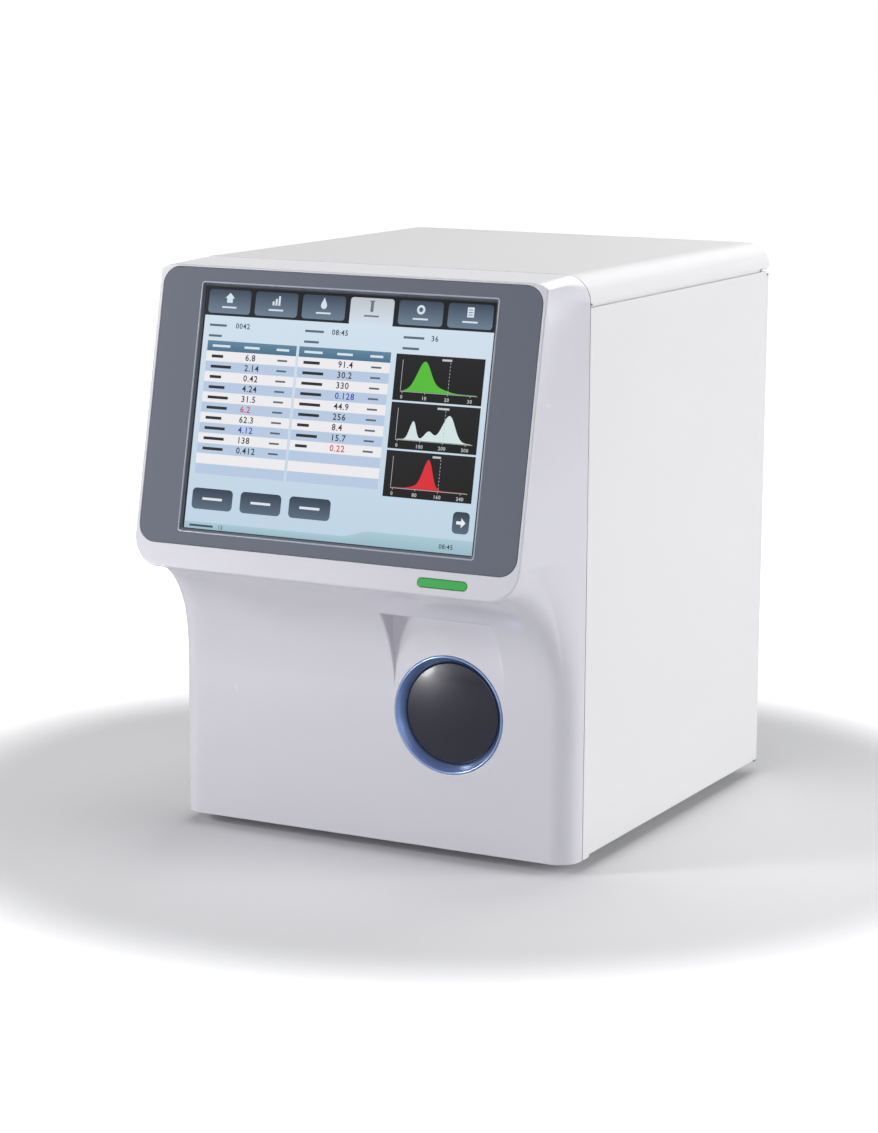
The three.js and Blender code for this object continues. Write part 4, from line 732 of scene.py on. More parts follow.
@dataclass
class FrontCover(SubAssembly):
    """The one-piece moulded front: lower face, sweep, overhanging head, alcove and pockets.

    Pairs and triples are: alcove left and right edge; key across and up; touch width, height and
    rise; bezel width, height, corner and rise; seat margin, corner, start and end; slot width,
    height, across, up and depth; key_seat diameter and depth; probe_hole diameter, depth, start
    and end; bosses diameter, across, start and end.
    """

    half: float = 150.0
    bottom: float = 8.0
    height: float = 394.0
    wall: float = 3.0
    face_reach: float = 18.8
    face_corner: float = 16.0
    sweep_start: float = 113.0
    sweep_turn: float = 81.6
    crease: float = 142.8
    lip_corner: float = 20.0
    roof_roll: float = 18.0
    top_front: float = 392.2
    edge_round: float = 1.2
    alcove: tuple[float, float] = (19.0, 100.0)
    ceiling: float = 168.0
    convex: float = 1.6
    concave: float = 3.0
    parting: float = 0.004
    merging: float = 1.2e-5
    side_steps: int = 15
    sweep_steps: int = 29
    head_steps: int = 9
    arc_steps: int = 7
    corner_steps: int = 13
    plain_stations: tuple[float, ...] = (-100.0, -70.0, -40.0, -10.0, 40.0, 60.0, 80.0, 110.0)
    key: tuple[float, float] = (59.5, 100.0)
    touch: tuple[float, float, float] = (230.0, 176.0, 108.0)
    bezel: tuple[float, float, float, float] = (280.6, 184.1, 12.3, 108.25)
    pocket: float = 2.5
    seat: tuple[float, float, float, float] = (12.0, 7.0, 1.5, 7.0)
    opening_margin: float = 1.0
    slot: tuple[float, float, float, float, float] = (35.9, 6.2, 89.4, 8.0, 5.0)
    key_seat: tuple[float, float] = (80.6, 1.5)
    key_bore: float = 76.6
    probe_hole: tuple[float, float, float, float] = (10.0, -30.0, 160.0, 180.0)
    bosses: tuple[float, float, float, float] = (8.0, 128.0, 1.5, 12.6)
    boss_rises: tuple[float, float] = (26.0, 184.0)
    boss_steps: int = 5
    key_steps: int = 24
    hole_steps: int = 6
    past: float = 12.0

    def build(self) -> None:
        """Skins the cover, cuts its pockets and holes, and puts it in the CAD cover's place."""
        outer = self.sheet(0.0, self.edge_round)
        inner = self.sheet(self.wall, 0.0)
        columns, rows = outer.shape[:2]
        number = np.arange(columns * rows).reshape(columns, rows)
        inner_number = number + number.size
        lip, top = 1 + len(self.turns(0.0)), rows - 2
        outline = self.outline(number, lip, top)
        rounding = self.face_round(outer.reshape(-1, 3)[outline])
        loops = np.vstack([outline, 2 * number.size + np.arange(len(rounding)).reshape(-1, len(outline))])
        quads = self.cells(number)
        screen = np.zeros(quads.shape[:2], bool)
        screen[self.side_steps + 1:-self.side_steps - 1, lip:top] = True
        faces = [*quads[~screen].tolist(), *self.cells(inner_number)[:, :, ::-1].reshape(-1, 4).tolist(),
                 *self.back_rim(inner_number, number), *ring_faces(loops), loops[-1].tolist()]
        corners = np.concatenate([outer.reshape(-1, 3), inner.reshape(-1, 3), rounding])
        used = np.unique(np.concatenate(faces))
        cover = new_piece("front_cover_moulding", row_frame(corners[used]),
                          [np.searchsorted(used, face).tolist() for face in faces], COVER_WHITE, "chassis")
        cleaned(cover, self.merging)
        self.machine(cover)
        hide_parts("front_cover")
        soften_cut_edges(cover)

    def eased(self) -> np.ndarray:
        """Gives steps from 1 to 0 that crowd at 0, as a quarter circle's rows do."""
        return 1 - np.sin(np.linspace(0, np.pi / 2, self.arc_steps))

    def stations(self, inset: float) -> tuple[np.ndarray, np.ndarray]:
        """Gives each station's place across within the creases, and what share of the side's way is left.

        Args:
            inset: how deep the skin lies under the outer one.

        Returns:
            Signed places, and shares that are 1 up to the crease and fall to 0 at the side.
        """
        quarter = np.linspace(0, np.pi / 2, self.corner_steps)
        corner = self.crease - self.lip_corner * (1 - np.sin(quarter))
        convex = self.parting + self.convex * self.eased()
        concave = self.parting + self.concave * self.eased()
        low, high = self.alcove
        across = np.unique(np.concatenate([-corner, corner, low - convex, low + concave, high - concave,
                                           high + convex, self.plain_stations]))
        if inset:
            middle = sum(self.alcove) / 2
            across = np.interp(across, [-self.crease, 0, low, middle, high, self.crease],
                               [inset - self.crease, 0, low - self.wall, middle, high + self.wall,
                                self.crease - inset])
        share = np.linspace(1, 0, self.side_steps + 1)[1:]
        sides = np.full(self.side_steps + 1, self.crease - inset)
        return (np.concatenate([-sides, across, sides]),
                np.concatenate([[0], share[::-1], np.ones(len(across)), share, [0]]))

    def turns(self, inset: float) -> np.ndarray:
        """Gives the sweep's turns, with close rows where the alcove's ceiling cuts in.

        Args:
            inset: how deep the skin lies under the outer one.

        Returns:
            Turns from the sweep's start to the lip, in radians.
        """
        end = np.radians(self.sweep_turn)
        heights = np.concatenate([self.ceiling - self.parting - self.concave * self.eased(),
                                  self.ceiling + self.parting + self.convex * self.eased()])
        outer_rise = (HEAD.lip_height - self.sweep_start) / np.sin(end)
        turns = np.unique(np.concatenate([np.linspace(0, end, self.sweep_steps),
                                          np.arcsin((heights - self.sweep_start) / outer_rise)]))
        if inset:
            rise = outer_rise + inset / np.sin(end)
            cut = np.arcsin((self.ceiling - self.sweep_start) / outer_rise)
            grown = np.arcsin((self.ceiling + inset - self.sweep_start) / rise)
            turns = np.interp(turns, [0, cut, end], [0, grown, end])
        return turns

    def sheet(self, inset: float, rounding: float) -> np.ndarray:
        """Works out one skin of the cover, stations across by rows up.

        The lower face falls back round its corner circle. The sweep is a quarter of an ellipse:
        forward by its drop times one minus the cosine of the turn, and up by its rise times the
        sine. Past the crease the head's reach shrinks with the share of the way that is left,
        while the place across grows by one minus the share squared. The roof rolls down at the
        sides. Where the outline's edge is rounded, every row that meets the screen face ends at
        the rounding's depth behind it.

        Args:
            inset: how deep this skin lies under the outer one.
            rounding: the radius of the screen face's edge.

        Returns:
            Stations by rows by 3, in housing millimetres.
        """
        base, share = self.stations(inset)
        sine, cosine = HEAD.turn
        land = self.face_reach - self.face_corner
        turns = self.turns(inset)
        beyond = np.abs(base) > self.crease - inset - NEAR

        def reach(high: np.ndarray) -> np.ndarray:
            """How far the head stands out in front of the lower corner's end."""
            return HEAD.reach - land - (high - HEAD.lip_height) * sine / cosine

        def left(high: np.ndarray) -> np.ndarray:
            """The share of that reach that a side station has."""
            return np.where(beyond, share * (1 - rounding / (cosine * reach(high))), 1.0)

        def out(high: np.ndarray) -> np.ndarray:
            """The distance out from the middle plane."""
            way = (self.half - self.crease) * (1 - left(high) ** 2)
            return np.where(beyond, self.crease + way, np.abs(base) + inset)

        def rolled(wide: np.ndarray) -> np.ndarray:
            """How far the roof has rolled down at a distance out."""
            return arc_drop(wide, self.half - self.roof_roll, self.roof_roll)

        lip = HEAD.lip_height + inset + arc_drop(np.minimum(np.abs(base) + inset, self.crease),
                                                 self.crease - self.lip_corner, self.lip_corner)
        wide = out(lip)
        face = -self.face_reach + arc_drop(wide, self.half - self.face_corner, self.face_corner) + inset
        end = np.radians(self.sweep_turn)
        drop = (face - (inset - land - reach(lip) * left(lip))) / (1 - np.cos(end))
        rise = (lip - self.sweep_start) / np.sin(end)
        held = rounding / (cosine * (drop * np.sin(end) + rise * np.cos(end) * sine / cosine))
        turn = np.outer(1 - np.where(beyond, 0.0, held) / end, turns)
        x, y, z = [wide, wide], [np.zeros_like(face), face], [np.full_like(face, self.bottom + inset)] * 2
        x += [wide] * len(turns)
        y += list((face[:, None] - drop[:, None] * (1 - np.cos(turn))).T)
        z += list((self.sweep_start + rise[:, None] * np.sin(turn)).T)
        for part in np.linspace(0, 1, self.head_steps)[1:]:
            level = lip + part * (self.top_front - inset - lip)
            level = level - rolled(out(level)) * part
            x.append(out(level))
            y.append(inset - land - reach(level) * left(level))
            z.append(level)
        crown = self.height - inset - rolled(x[-1])
        depth = (0.0 - y[-1]) * cosine + (z[-1] - crown) * sine
        pull = np.where(beyond, 0.0, rounding / depth)
        y[-1], z[-1] = y[-1] * (1 - pull), z[-1] + (crown - z[-1]) * pull
        x.append(x[-1])
        y.append(np.zeros_like(face))
        z.append(crown)
        grid = np.stack([np.stack(x, 1) - inset, np.stack(y, 1), np.stack(z, 1)], axis=-1)
        grid[:, :, 0] *= np.sign(base)[:, None]
        grid[[0, -1], :, 1] = 0.0
        self.cut_alcove(grid[:, 2:2 + len(turns)], inset)
        return grid

    def cut_alcove(self, sweep: np.ndarray, inset: float) -> None:
        """Sinks the alcove into a skin, with its edges rounded.

        A point inside the alcove's upright window goes back to the lower face. Near the window's
        border both sides follow circles of the distance to it, no larger than half the depth.

        Args:
            sweep: the skin's rows along the sweep, changed in place.
            inset: how deep the skin lies under the outer one.
        """
        across, back, high = np.moveaxis(sweep, -1, 0)
        low, far = self.alcove[0] - inset, self.alcove[1] + inset
        aside = np.maximum(low - across, across - far)
        above = high - self.ceiling - inset
        outside = np.hypot(np.maximum(aside, 0), np.maximum(above, 0))
        within = np.minimum(-aside, -above)
        floor = -self.face_reach + inset
        depth = np.maximum(floor - back, 0)
        convex = np.minimum(self.convex, depth / 2) + TINY
        concave = np.minimum(self.concave, depth / 2) + TINY
        border = np.where(outside < convex, back + arc_drop(convex, outside, convex), back)
        sunk = floor - arc_drop(concave, within, concave)
        sweep[:, :, 1] = np.where((aside < 0) & (above < 0) & (depth > 0), sunk, border)

    @staticmethod
    def cells(number: np.ndarray) -> np.ndarray:
        """Gives the corner numbers of every cell of a numbered grid."""
        return np.stack([number[:-1, :-1], number[1:, :-1], number[1:, 1:], number[:-1, 1:]], axis=-1)

    @staticmethod
    def back_rim(inner: np.ndarray, outer: np.ndarray) -> list[list[int]]:
        """Joins the two skins round the open back: bottom row, right side, top row, left side.

        Args:
            inner: the inner skin's corner numbers, stations by rows.
            outer: the outer skin's.

        Returns:
            The corner numbers of each face.
        """
        loops = [np.concatenate([grid[:, 0], grid[-1, 1:], grid[-2::-1, -1], grid[0, -2:0:-1]])
                 for grid in (inner, outer)]
        return ring_faces(np.stack(loops))

    def outline(self, number: np.ndarray, lip: int, top: int) -> np.ndarray:
        """Follows the screen face's edge: along the lip, up, back along the top, down.

        Args:
            number: the outer skin's corner numbers, stations by rows.
            lip: the row that runs along the lip.
            top: the row at the face's top.

        Returns:
            The corner numbers in that order.
        """
        first, last = self.side_steps + 1, len(number) - self.side_steps - 2
        return np.concatenate([number[first:last + 1, lip], number[last, lip + 1:top + 1],
                               number[last - 1:first - 1:-1, top], number[first, top - 1:lip:-1]])

    def face_round(self, corners: np.ndarray) -> np.ndarray:
        """Rounds the screen face's edge with loops that move in and forward round a quarter circle.

        Args:
            corners: the places round the screen face, in housing millimetres.

        Returns:
            The loops' corners, one loop after another.
        """
        edge = HEAD.faced(corners)
        flat = edge[:, [0, 2]]
        ahead = np.roll(flat, -1, axis=0) - flat
        normal = np.column_stack([-ahead[:, 1], ahead[:, 0]]) / np.linalg.norm(ahead, axis=1)[:, None]
        before = np.roll(normal, 1, axis=0)
        mitre = (normal + before) / (1 + np.sum(normal * before, axis=1))[:, None]
        loops = []
        for turn in np.linspace(0, np.pi / 2, self.arc_steps)[1:]:
            spot = flat + self.edge_round * (1 - np.cos(turn)) * mitre
            loops.append(HEAD.housed(np.insert(spot, 1, edge[:, 1] * (1 - np.sin(turn)), axis=1)))
        return np.concatenate(loops)

    def cutters(self) -> list[Cutter]:
        """Lists what is added to the cover and cut out of it.

        Returns:
            The prisms, in the order that they are used.
        """
        wide, high, rise = self.touch
        margin, seat_corner, *seat_depths = self.seat
        slot_wide, slot_high, slot_across, slot_up, slot_depth = self.slot
        boss, aside, *boss_depths = self.bosses
        hole, back, *hole_span = self.probe_hole

        def behind(points: np.ndarray) -> np.ndarray:
            """Places a prism that runs straight back from the lower face."""
            return points - np.array([0.0, self.face_reach, 0.0])

        def upright(points: np.ndarray) -> np.ndarray:
            """Places a prism that stands upright."""
            return points[:, [0, 2, 1]]

        edge, ahead, past = self.opening_margin, -self.past, self.past
        seat = rounded_outline(wide + margin, high + margin, seat_corner, (0, rise))
        opening = rounded_outline(wide + edge, high + edge, edge, (0, rise))
        bezel = rounded_outline(*self.bezel[:3], (0, self.bezel[3]))
        slot = rounded_outline(slot_wide, slot_high, slot_high / 2, (slot_across, slot_up))
        bosses = [circle(boss, (side * aside, up), self.boss_steps)
                  for side in (-1, 1) for up in self.boss_rises]
        return [Cutter(seat, *seat_depths, HEAD.housed, added=True),
                *(Cutter(outline, *boss_depths, HEAD.housed, added=True) for outline in bosses),
                Cutter(bezel, ahead, self.pocket, HEAD.housed),
                Cutter(opening, ahead, past, HEAD.housed),
                Cutter(slot, ahead, slot_depth, HEAD.housed),
                Cutter(circle(self.key_seat[0], self.key, self.key_steps), ahead, self.key_seat[1], behind),
                Cutter(circle(self.key_bore, self.key, self.key_steps), ahead, past, behind),
                Cutter(circle(hole, (self.key[0], back), self.hole_steps), *hole_span, upright)]

    def machine(self, cover: bpy.types.Object) -> None:
        """Adds the panel's seat and the bosses, and cuts the pockets and holes.

        Args:
            cover: the skinned cover, whose mesh is replaced by the cut one.
        """
        helpers = []
        for place, cutter in enumerate(self.cutters()):
            helpers.append(cutter.form(f"cover_cutter_{place}"))
            cut = cover.modifiers.new(helpers[-1].name, "BOOLEAN")
            cut.operation = "UNION" if cutter.added else "DIFFERENCE"
            cut.solver = "EXACT"
            cut.object = helpers[-1]
        shown = cover.evaluated_get(bpy.context.evaluated_depsgraph_get())
        finished = bpy.data.meshes.new_from_object(shown)
        cover.modifiers.clear()
        spares = [cover.data, *(helper.data for helper in helpers)]
        cover.data = finished
        for helper in helpers:
            bpy.data.objects.remove(helper)
        for spare in spares:
            bpy.data.meshes.remove(spare)


@dataclass
class Picture:
    """The lit screen picture: flat shapes in thin layers, each with its own colours.

    A shape is a band between a lower and an upper line over the same places across, so that
    bars, rounded buttons, discs and curves are all made in one way.
    """

    wide: float = 214.0
    high: float = 160.5
    rise: float = 108.0
    face_depth: float = 2.47
    layer_step: float = 0.01
    round_steps: int = 6
    disc_steps: int = 17
    corners: list[np.ndarray] = field(default_factory=list)
    faces: list[tuple[int, ...]] = field(default_factory=list)
    colours: list[np.ndarray] = field(default_factory=list)
    count: int = 0

    def put(self, corners: np.ndarray, faces: Iterable[Sequence[int]], colours: np.ndarray,
            layer: int) -> None:
        """Adds flat faces.

        Args:
            corners: n by 2 places in the picture, from its lower left corner.
            faces: corner numbers, counted from this call's first corner.
            colours: n by 4 linear colours.
            layer: how many steps the faces stand in front of the glass.
        """
        self.corners.append(np.insert(corners, 2, self.face_depth - layer * self.layer_step, axis=1))
        self.faces += [tuple(self.count + corner for corner in face) for face in faces]
        self.colours.append(colours)
        self.count += len(corners)

    def band(self, across: np.ndarray, low: np.ndarray | float, high: np.ndarray | float, bottom: str,
             top: str = "", layer: int = 1) -> None:
        """Adds a band between two lines.

        Args:
            across: places across, rising.
            low: the lower line at those places.
            high: the upper line at those places.
            bottom: display colour along the lower line.
            top: display colour along the upper line, the same if left out.
            layer: how far in front it stands.
        """
        across, low, high = np.broadcast_arrays(across, low, high)
        corners = np.concatenate([np.column_stack([across, low]), np.column_stack([across, high])])
        start = np.arange(len(across) - 1)
        end = start + len(across)
        quads = np.column_stack([start, start + 1, end + 1, end])
        colours = np.repeat([linear(bottom), linear(top or bottom)], len(across), axis=0)
        self.put(corners, quads.tolist(), colours, layer)

    def bar(self, left: float, low: float, wide: float, high: float, bottom: str, top: str = "",
            layer: int = 1) -> None:
        """Adds an upright rectangle."""
        self.band(np.array([left, left + wide]), low, low + high, bottom, top, layer)

    def button(self, left: float, low: float, wide: float, high: float, radius: float, bottom: str, top: str,
               layer: int = 1) -> None:
        """Adds a rounded rectangle, whose lines draw in by what the corner circle has fallen.

        Args:
            left: its left side.
            low: its lower side.
            wide: its width.
            high: its height.
            radius: its corner radius.
            bottom: display colour along the lower line.
            top: display colour along the upper line.
            layer: how far in front it stands.
        """
        corner = radius * (1 - np.cos(np.linspace(0, np.pi / 2, self.round_steps)))
        across = np.concatenate([left + corner, left + wide - corner[::-1]])
        drop = arc_drop(np.concatenate([radius - corner, (radius - corner)[::-1]]), 0.0, radius)
        self.band(across, low + drop, low + high - drop, bottom, top, layer)

    def disc(self, middle: tuple[float, float], radius: float, colour: str, layer: int = 1) -> None:
        """Adds a filled circle.

        Args:
            middle: its middle, across and up.
            radius: its radius.
            colour: display colour.
            layer: how far in front it stands.
        """
        across = -np.cos(np.linspace(0, np.pi, self.disc_steps))
        rise = np.sqrt(np.maximum(1 - across ** 2, 0)) * radius
        self.band(middle[0] + across * radius, middle[1] - rise, middle[1] + rise, colour, layer=layer)

    def number(self, text: str, left: float, low: float, size: float, colour: str, layer: int = 3) -> None:
        """Sets digits on a line.

        Args:
            text: digits and marks.
            left: where the first one starts.
            low: the line that they stand on.
            size: the type's size in millimetres.
            colour: display colour.
            layer: how far in front they stand.
        """
        corners, faces = TYPE.set(text, size)
        colours = np.repeat([linear(colour)], len(corners), axis=0)
        self.put(corners + np.array([left, low]), faces, colours, layer)

    def piece(self) -> None:
        """Makes the picture's mesh on the screen face, with its colours in a corner attribute."""
        across, up, depth = np.concatenate(self.corners).T
        spots = np.column_stack([across - self.wide / 2, depth, up - self.high / 2 + self.rise])
        shown = new_piece("screen_picture", HEAD.place(spots), self.faces, SCREEN_LIT, "chassis",
                          smooth=False)
        loops = np.zeros(len(shown.data.loops), np.int32)
        shown.data.loops.foreach_get("vertex_index", loops)
        layer = shown.data.color_attributes.new(SCREEN_LAYER, "FLOAT_COLOR", "CORNER")
        layer.data.foreach_set("color", np.concatenate(self.colours)[loops].astype(np.float32).ravel())


class TypeFace:
    """The built-in plain type, one flat mesh for each digit, with each digit's width."""

    boldness = 0.014
    curve_steps = 2
    plain_step = 0.56
    steps: ClassVar[dict[str, float]] = {".": 0.26, ":": 0.26}

    def __init__(self) -> None:
        """Starts with no digits made."""
        self.shapes: dict[str, tuple[np.ndarray, list[list[int]]]] = {}

    def shape(self, mark: str) -> tuple[np.ndarray, list[list[int]]]:
        """Makes one mark's shape at size one, or finds it again.

        Args:
            mark: a single character.

        Returns:
            Its corners, n by 2, and the corner numbers of its faces.
        """
        if mark not in self.shapes:
            curve = bpy.data.curves.new(f"type_{ord(mark)}", "FONT")
            curve.body = mark
            curve.resolution_u = self.curve_steps
            curve.offset = self.boldness
            sample = bpy.data.objects.new(curve.name, curve)
            bpy.context.scene.collection.objects.link(sample)
            shown = sample.evaluated_get(bpy.context.evaluated_depsgraph_get())
            mesh = shown.to_mesh()
            corners = np.zeros(len(mesh.vertices) * 3)
            mesh.vertices.foreach_get("co", corners)
            faces = [list(face.vertices) for face in mesh.polygons]
            self.shapes[mark] = corners.reshape(-1, 3)[:, :2], faces
            shown.to_mesh_clear()
            bpy.data.objects.remove(sample)
            bpy.data.curves.remove(curve)
        return self.shapes[mark]

    def set(self, text: str, size: float) -> tuple[np.ndarray, list[list[int]]]:
        """Sets a line of marks.

        Args:
            text: the marks.
            size: the type's size.

        Returns:
            Corners and faces of the whole line, which starts at zero.
        """
        corners, faces, along, count = [], [], 0.0, 0
        for mark in text:
            shape, sides = self.shape(mark)
            corners.append((shape + np.array([along, 0.0])) * size)
            faces += [[count + corner for corner in side] for side in sides]
            count += len(shape)
            along += self.steps.get(mark, self.plain_step)
        return np.concatenate(corners), faces


TYPE = TypeFace()


class Ink(str, Enum):
    """The picture's display colours that stand in more than one place."""

    PAPER = "d9e8f5"
    PLAIN = "23272c"
    LOW = "2f3fb4"
    HIGH = "d8303a"
    TEXT = "2c3844"
    AXIS = "c9ccd0"
    TILE = "54667a"
    BUTTON_LOW = "5c6e82"
    BUTTON_TOP = "333f50"
    ARROW = "f2f6fa"


class Mark(Enum):
    """The toolbar's marks, in order."""

    HOUSE = "house"
    BARS = "bars"
    DROP = "drop"
    TUBE = "tube"
    RING = "ring"
    SHEET = "sheet"


TABLES = ("6.8 2.14 0.42 4.24 31.5 6.2+ 62.3 4.12- 138 0.412",
          "91.4 30.2 330 0.128- 44.9 256 8.4 15.7 0.22+")
TABLE_INKS = {"+": Ink.HIGH, "-": Ink.LOW}
# Each curve's colour, its humps' middles, spreads and heights, its axis step and its title's length.
CURVES = (
    ("58c038", ((0.28, 0.13, 0.95), (0.5, 0.16, 0.12)), 10, 7.0),
    ("d9ecea", ((0.2, 0.06, 0.6), (0.42, 0.08, 0.3), (0.68, 0.12, 0.85)), 100, 8.5),
    ("e02c36", ((0.46, 0.09, 0.95), (0.3, 0.1, 0.07)), 80, 6.0))


@dataclass
class ResultsPicture(Picture):
    """A results page of a general layout: toolbar, details, two tables, three curves and buttons."""

    margin: float = 4.0
    toolbar_high: float = 19.0
    active: Mark = Mark.TUBE
    table_low: float = 33.0
    table_top: float = 118.0
    table_rows: int = 12
    row_high: float = 6.8
    charts_left: float = 146.0
    chart_gap: float = 1.2
    foot_high: float = 9.0

    def draw(self) -> None:
        """Draws the whole page."""
        self.bar(0, 0, self.wide, self.high, "c4daec", Ink.PAPER, layer=0)
        self.toolbar()
        self.heading()
        wide = (self.charts_left - 2.5 * self.margin) / 2
        for place, values in enumerate(TABLES):
            self.table(self.margin + place * (wide + 0.5 * self.margin), wide, values)
        self.charts()
        self.foot()

    def toolbar(self) -> None:
        """Draws the dark bar with its round-cornered tiles, one of them lit."""
        low = self.high - self.toolbar_high
        self.bar(0, low, self.wide, self.toolbar_high, "1b1f26", "0c0e12")
        step = self.wide / len(Mark)
        for tile, mark in enumerate(Mark):
            left = (tile + 0.05) * step
            lower, upper, sign, base = "6f8296", "39475a", "dce8f2", low + 1.6
            if mark is self.active:
                lower, upper, sign, base = Ink.PAPER, "c3c9cf", "6d7986", low - 1.0
            self.button(left, base, 0.9 * step, self.high - 1.6 - base, 2.2, lower, upper, layer=2)
            self.icon(mark, left + 0.45 * step, low + 0.62 * self.toolbar_high, sign)

    def icon(self, mark: Mark, across: float, rise: float, colour: str) -> None:
        """Draws a tile's mark with a line under it.

        Args:
            mark: which one.
            across: its middle.
            rise: its middle height.
            colour: display colour.
        """
        left, low = across - 3.0, rise - 3.0
        if mark is Mark.HOUSE:
            self.band(across + np.array([-3.6, 0, 3.6]), rise, rise + np.array([0, 3.6, 0]), colour, layer=3)
            self.bar(left + 0.8, low, 4.4, 3.0, colour, layer=3)
        elif mark is Mark.BARS:
            for bar, high in enumerate((2.6, 4.4, 6.2)):
                self.bar(left + 2.2 * bar, low, 1.5, high, colour, layer=3)
        elif mark is Mark.DROP:
            turn = np.linspace(-1, 1, 13)
            half = 2.3 * np.sqrt(1 - turn ** 2)
            tip = 3 * (1 - abs(turn)) ** 2
            self.band(across + 2.3 * turn, rise - 1 - half, rise - 1 + half + tip, colour, layer=3)
        elif mark is Mark.TUBE:
            self.bar(across - 1.1, low + 0.6, 2.2, 5.6, colour, layer=3)
            self.disc((across, low + 0.6), 1.1, colour, layer=3)
            self.bar(across - 1.8, low + 6.2, 3.6, 0.8, colour, layer=3)
        elif mark is Mark.RING:
            self.disc((across, rise), 3.0, colour, layer=3)
            self.disc((across, rise), 1.5, Ink.TILE, layer=4)
        else:
            self.bar(left + 0.6, low, 4.8, 6.4, colour, layer=3)
            for line in range(3):
                self.bar(left + 1.5, low + 1.3 + 1.6 * line, 3.0, 0.5, Ink.TILE, layer=4)
        self.bar(across - 5.5, rise - 6.6, 11.0, 1.1, colour, layer=3)

    def heading(self) -> None:
        """Draws the two lines of sample details, with plain strokes where words would be."""
        top = self.high - self.toolbar_high
        for column, (share, value) in enumerate(zip((0.02, 0.36, 0.7), ("0042", "08:45", "36"))):
            left = share * self.wide
            for line in range(2):
                self.bar(left, top - 7.2 - 7.0 * line, 13.0 - 3.0 * line + column, 1.5, "5c6c7c")
            self.number(value, left + 20, top - 7.9, 5.0, Ink.TEXT)

    def table(self, left: float, wide: float, values: str) -> None:
        """Draws one results table.

        Args:
            left: its left side.
            wide: its width.
            values: the rows' values from the top. A plus ends one that is high, a minus one that is low.
        """
        self.bar(left, self.table_top, wide, self.row_high, "4a7390", "6288a2")
        for share, long in ((0.06, 0.2), (0.42, 0.17), (0.78, 0.14)):
            self.bar(left + share * wide, self.table_top + 2.7, long * wide, 1.5, "dfeaf2", layer=2)
        cells = values.split()
        for row in range(self.table_rows):
            low = self.table_top - (row + 1) * self.row_high
            self.bar(left, low, wide, self.row_high, "bccfe8" if row % 2 else "f4f2f5")
            if row >= len(cells):
                continue
            value, text = cells[row], cells[row].rstrip("+-")
            label = 0.13 + 0.05 * ((row * 7 + len(text)) % 3)
            self.bar(left + 0.06 * wide, low + 2.4, label * wide, 1.9, "22262c", layer=2)
            self.number(text, left + 0.44 * wide, low + 1.6, 5.9, TABLE_INKS.get(value[-1], Ink.PLAIN))
            self.bar(left + 0.8 * wide, low + 2.6, 0.11 * wide, 1.2, "5b6570", layer=2)

    def charts(self) -> None:
        """Draws three black panels one above another, each with a filled curve and its axes."""
        wide = self.wide - self.margin - self.charts_left
        step = (self.table_top + self.row_high - self.table_low + self.chart_gap) / len(CURVES)
        share = np.linspace(0, 1, 81)
        ends = np.clip(share / 0.04, 0, 1) * np.clip((1 - share) / 0.03, 0, 1)
        for panel, (colour, humps, tick, top) in enumerate(CURVES):
            low = self.table_low - 0.4 + (len(CURVES) - 1 - panel) * step
            self.bar(self.charts_left, low, wide, step - self.chart_gap, "141416", "1d1d20")
            left, base, high = self.charts_left + 6.5, low + 6.2, step - 11.0
            line = sum(rise * np.exp(-((share - middle) / spread) ** 2) for middle, spread, rise in humps)
            self.band(left + share * (wide - 11), base, base + 0.2 + high * line * ends, colour, layer=2)
            self.bar(left - 1.4, base, 0.3, high, Ink.AXIS, layer=2)
            self.bar(left - 1.4, base - 0.5, wide - 8.5, 0.3, Ink.AXIS, layer=2)
            limit = left + 0.62 * (wide - 11)
            for dash in range(9):
                self.bar(limit, base + 1 + dash * high / 9, 0.35, high / 16, "b8bcc0", layer=3)
            for mark in range(4):
                across, text = left + mark * (wide - 15) / 3, str(mark * tick)
                self.bar(across, base - 1.5, 0.3, 1.0, Ink.AXIS, layer=2)
                self.number(text, across - 0.9 * len(text), base - 5.0, 3.3, Ink.AXIS)
            self.bar(left + 0.42 * wide, low + step - 4.2, top, 1.3, Ink.AXIS, layer=2)

    def foot(self) -> None:
        """Draws the lower buttons and the status strip with its curved divider."""
        low = self.foot_high + 4.0
        for left in self.margin + 37.0 * np.arange(3):
            self.button(left, low, 31.0, 14.0, 3.0, Ink.BUTTON_LOW, Ink.BUTTON_TOP)
            self.bar(left + 8.0, low + 6.3, 15.0, 1.6, "e6edf3", layer=2)
        left = self.wide - self.margin - 12.0
        self.button(left, low, 12.0, 14.0, 3.0, Ink.BUTTON_LOW, Ink.BUTTON_TOP)
        self.bar(left + 2.8, low + 6.0, 3.6, 2.0, Ink.ARROW, layer=2)
        middle, spread = low + 7.0, np.array([3.2, 0.0])
        self.band(left + np.array([6.2, 9.4]), middle - spread, middle + spread, Ink.ARROW, layer=2)
        share = np.linspace(0, 1, 25)
        ease = share * share * (3 - 2 * share)
        across = np.concatenate([[0.0], 118.0 + 22.0 * share, [self.wide]])
        rise = self.foot_high - 4.5 + 4.5 * np.concatenate([[0.0], ease, [1.0]])
        self.band(across, 0, rise, "9dbfce", "aecfdc")
        self.bar(self.margin, 1.4, 18.0, 1.4, "40505c", layer=2)
        self.number("12", self.margin + 22.0, 0.9, 3.4, Ink.TEXT)
        self.number("08:45", self.wide - 24.0, 2.6, 4.2, Ink.TEXT)


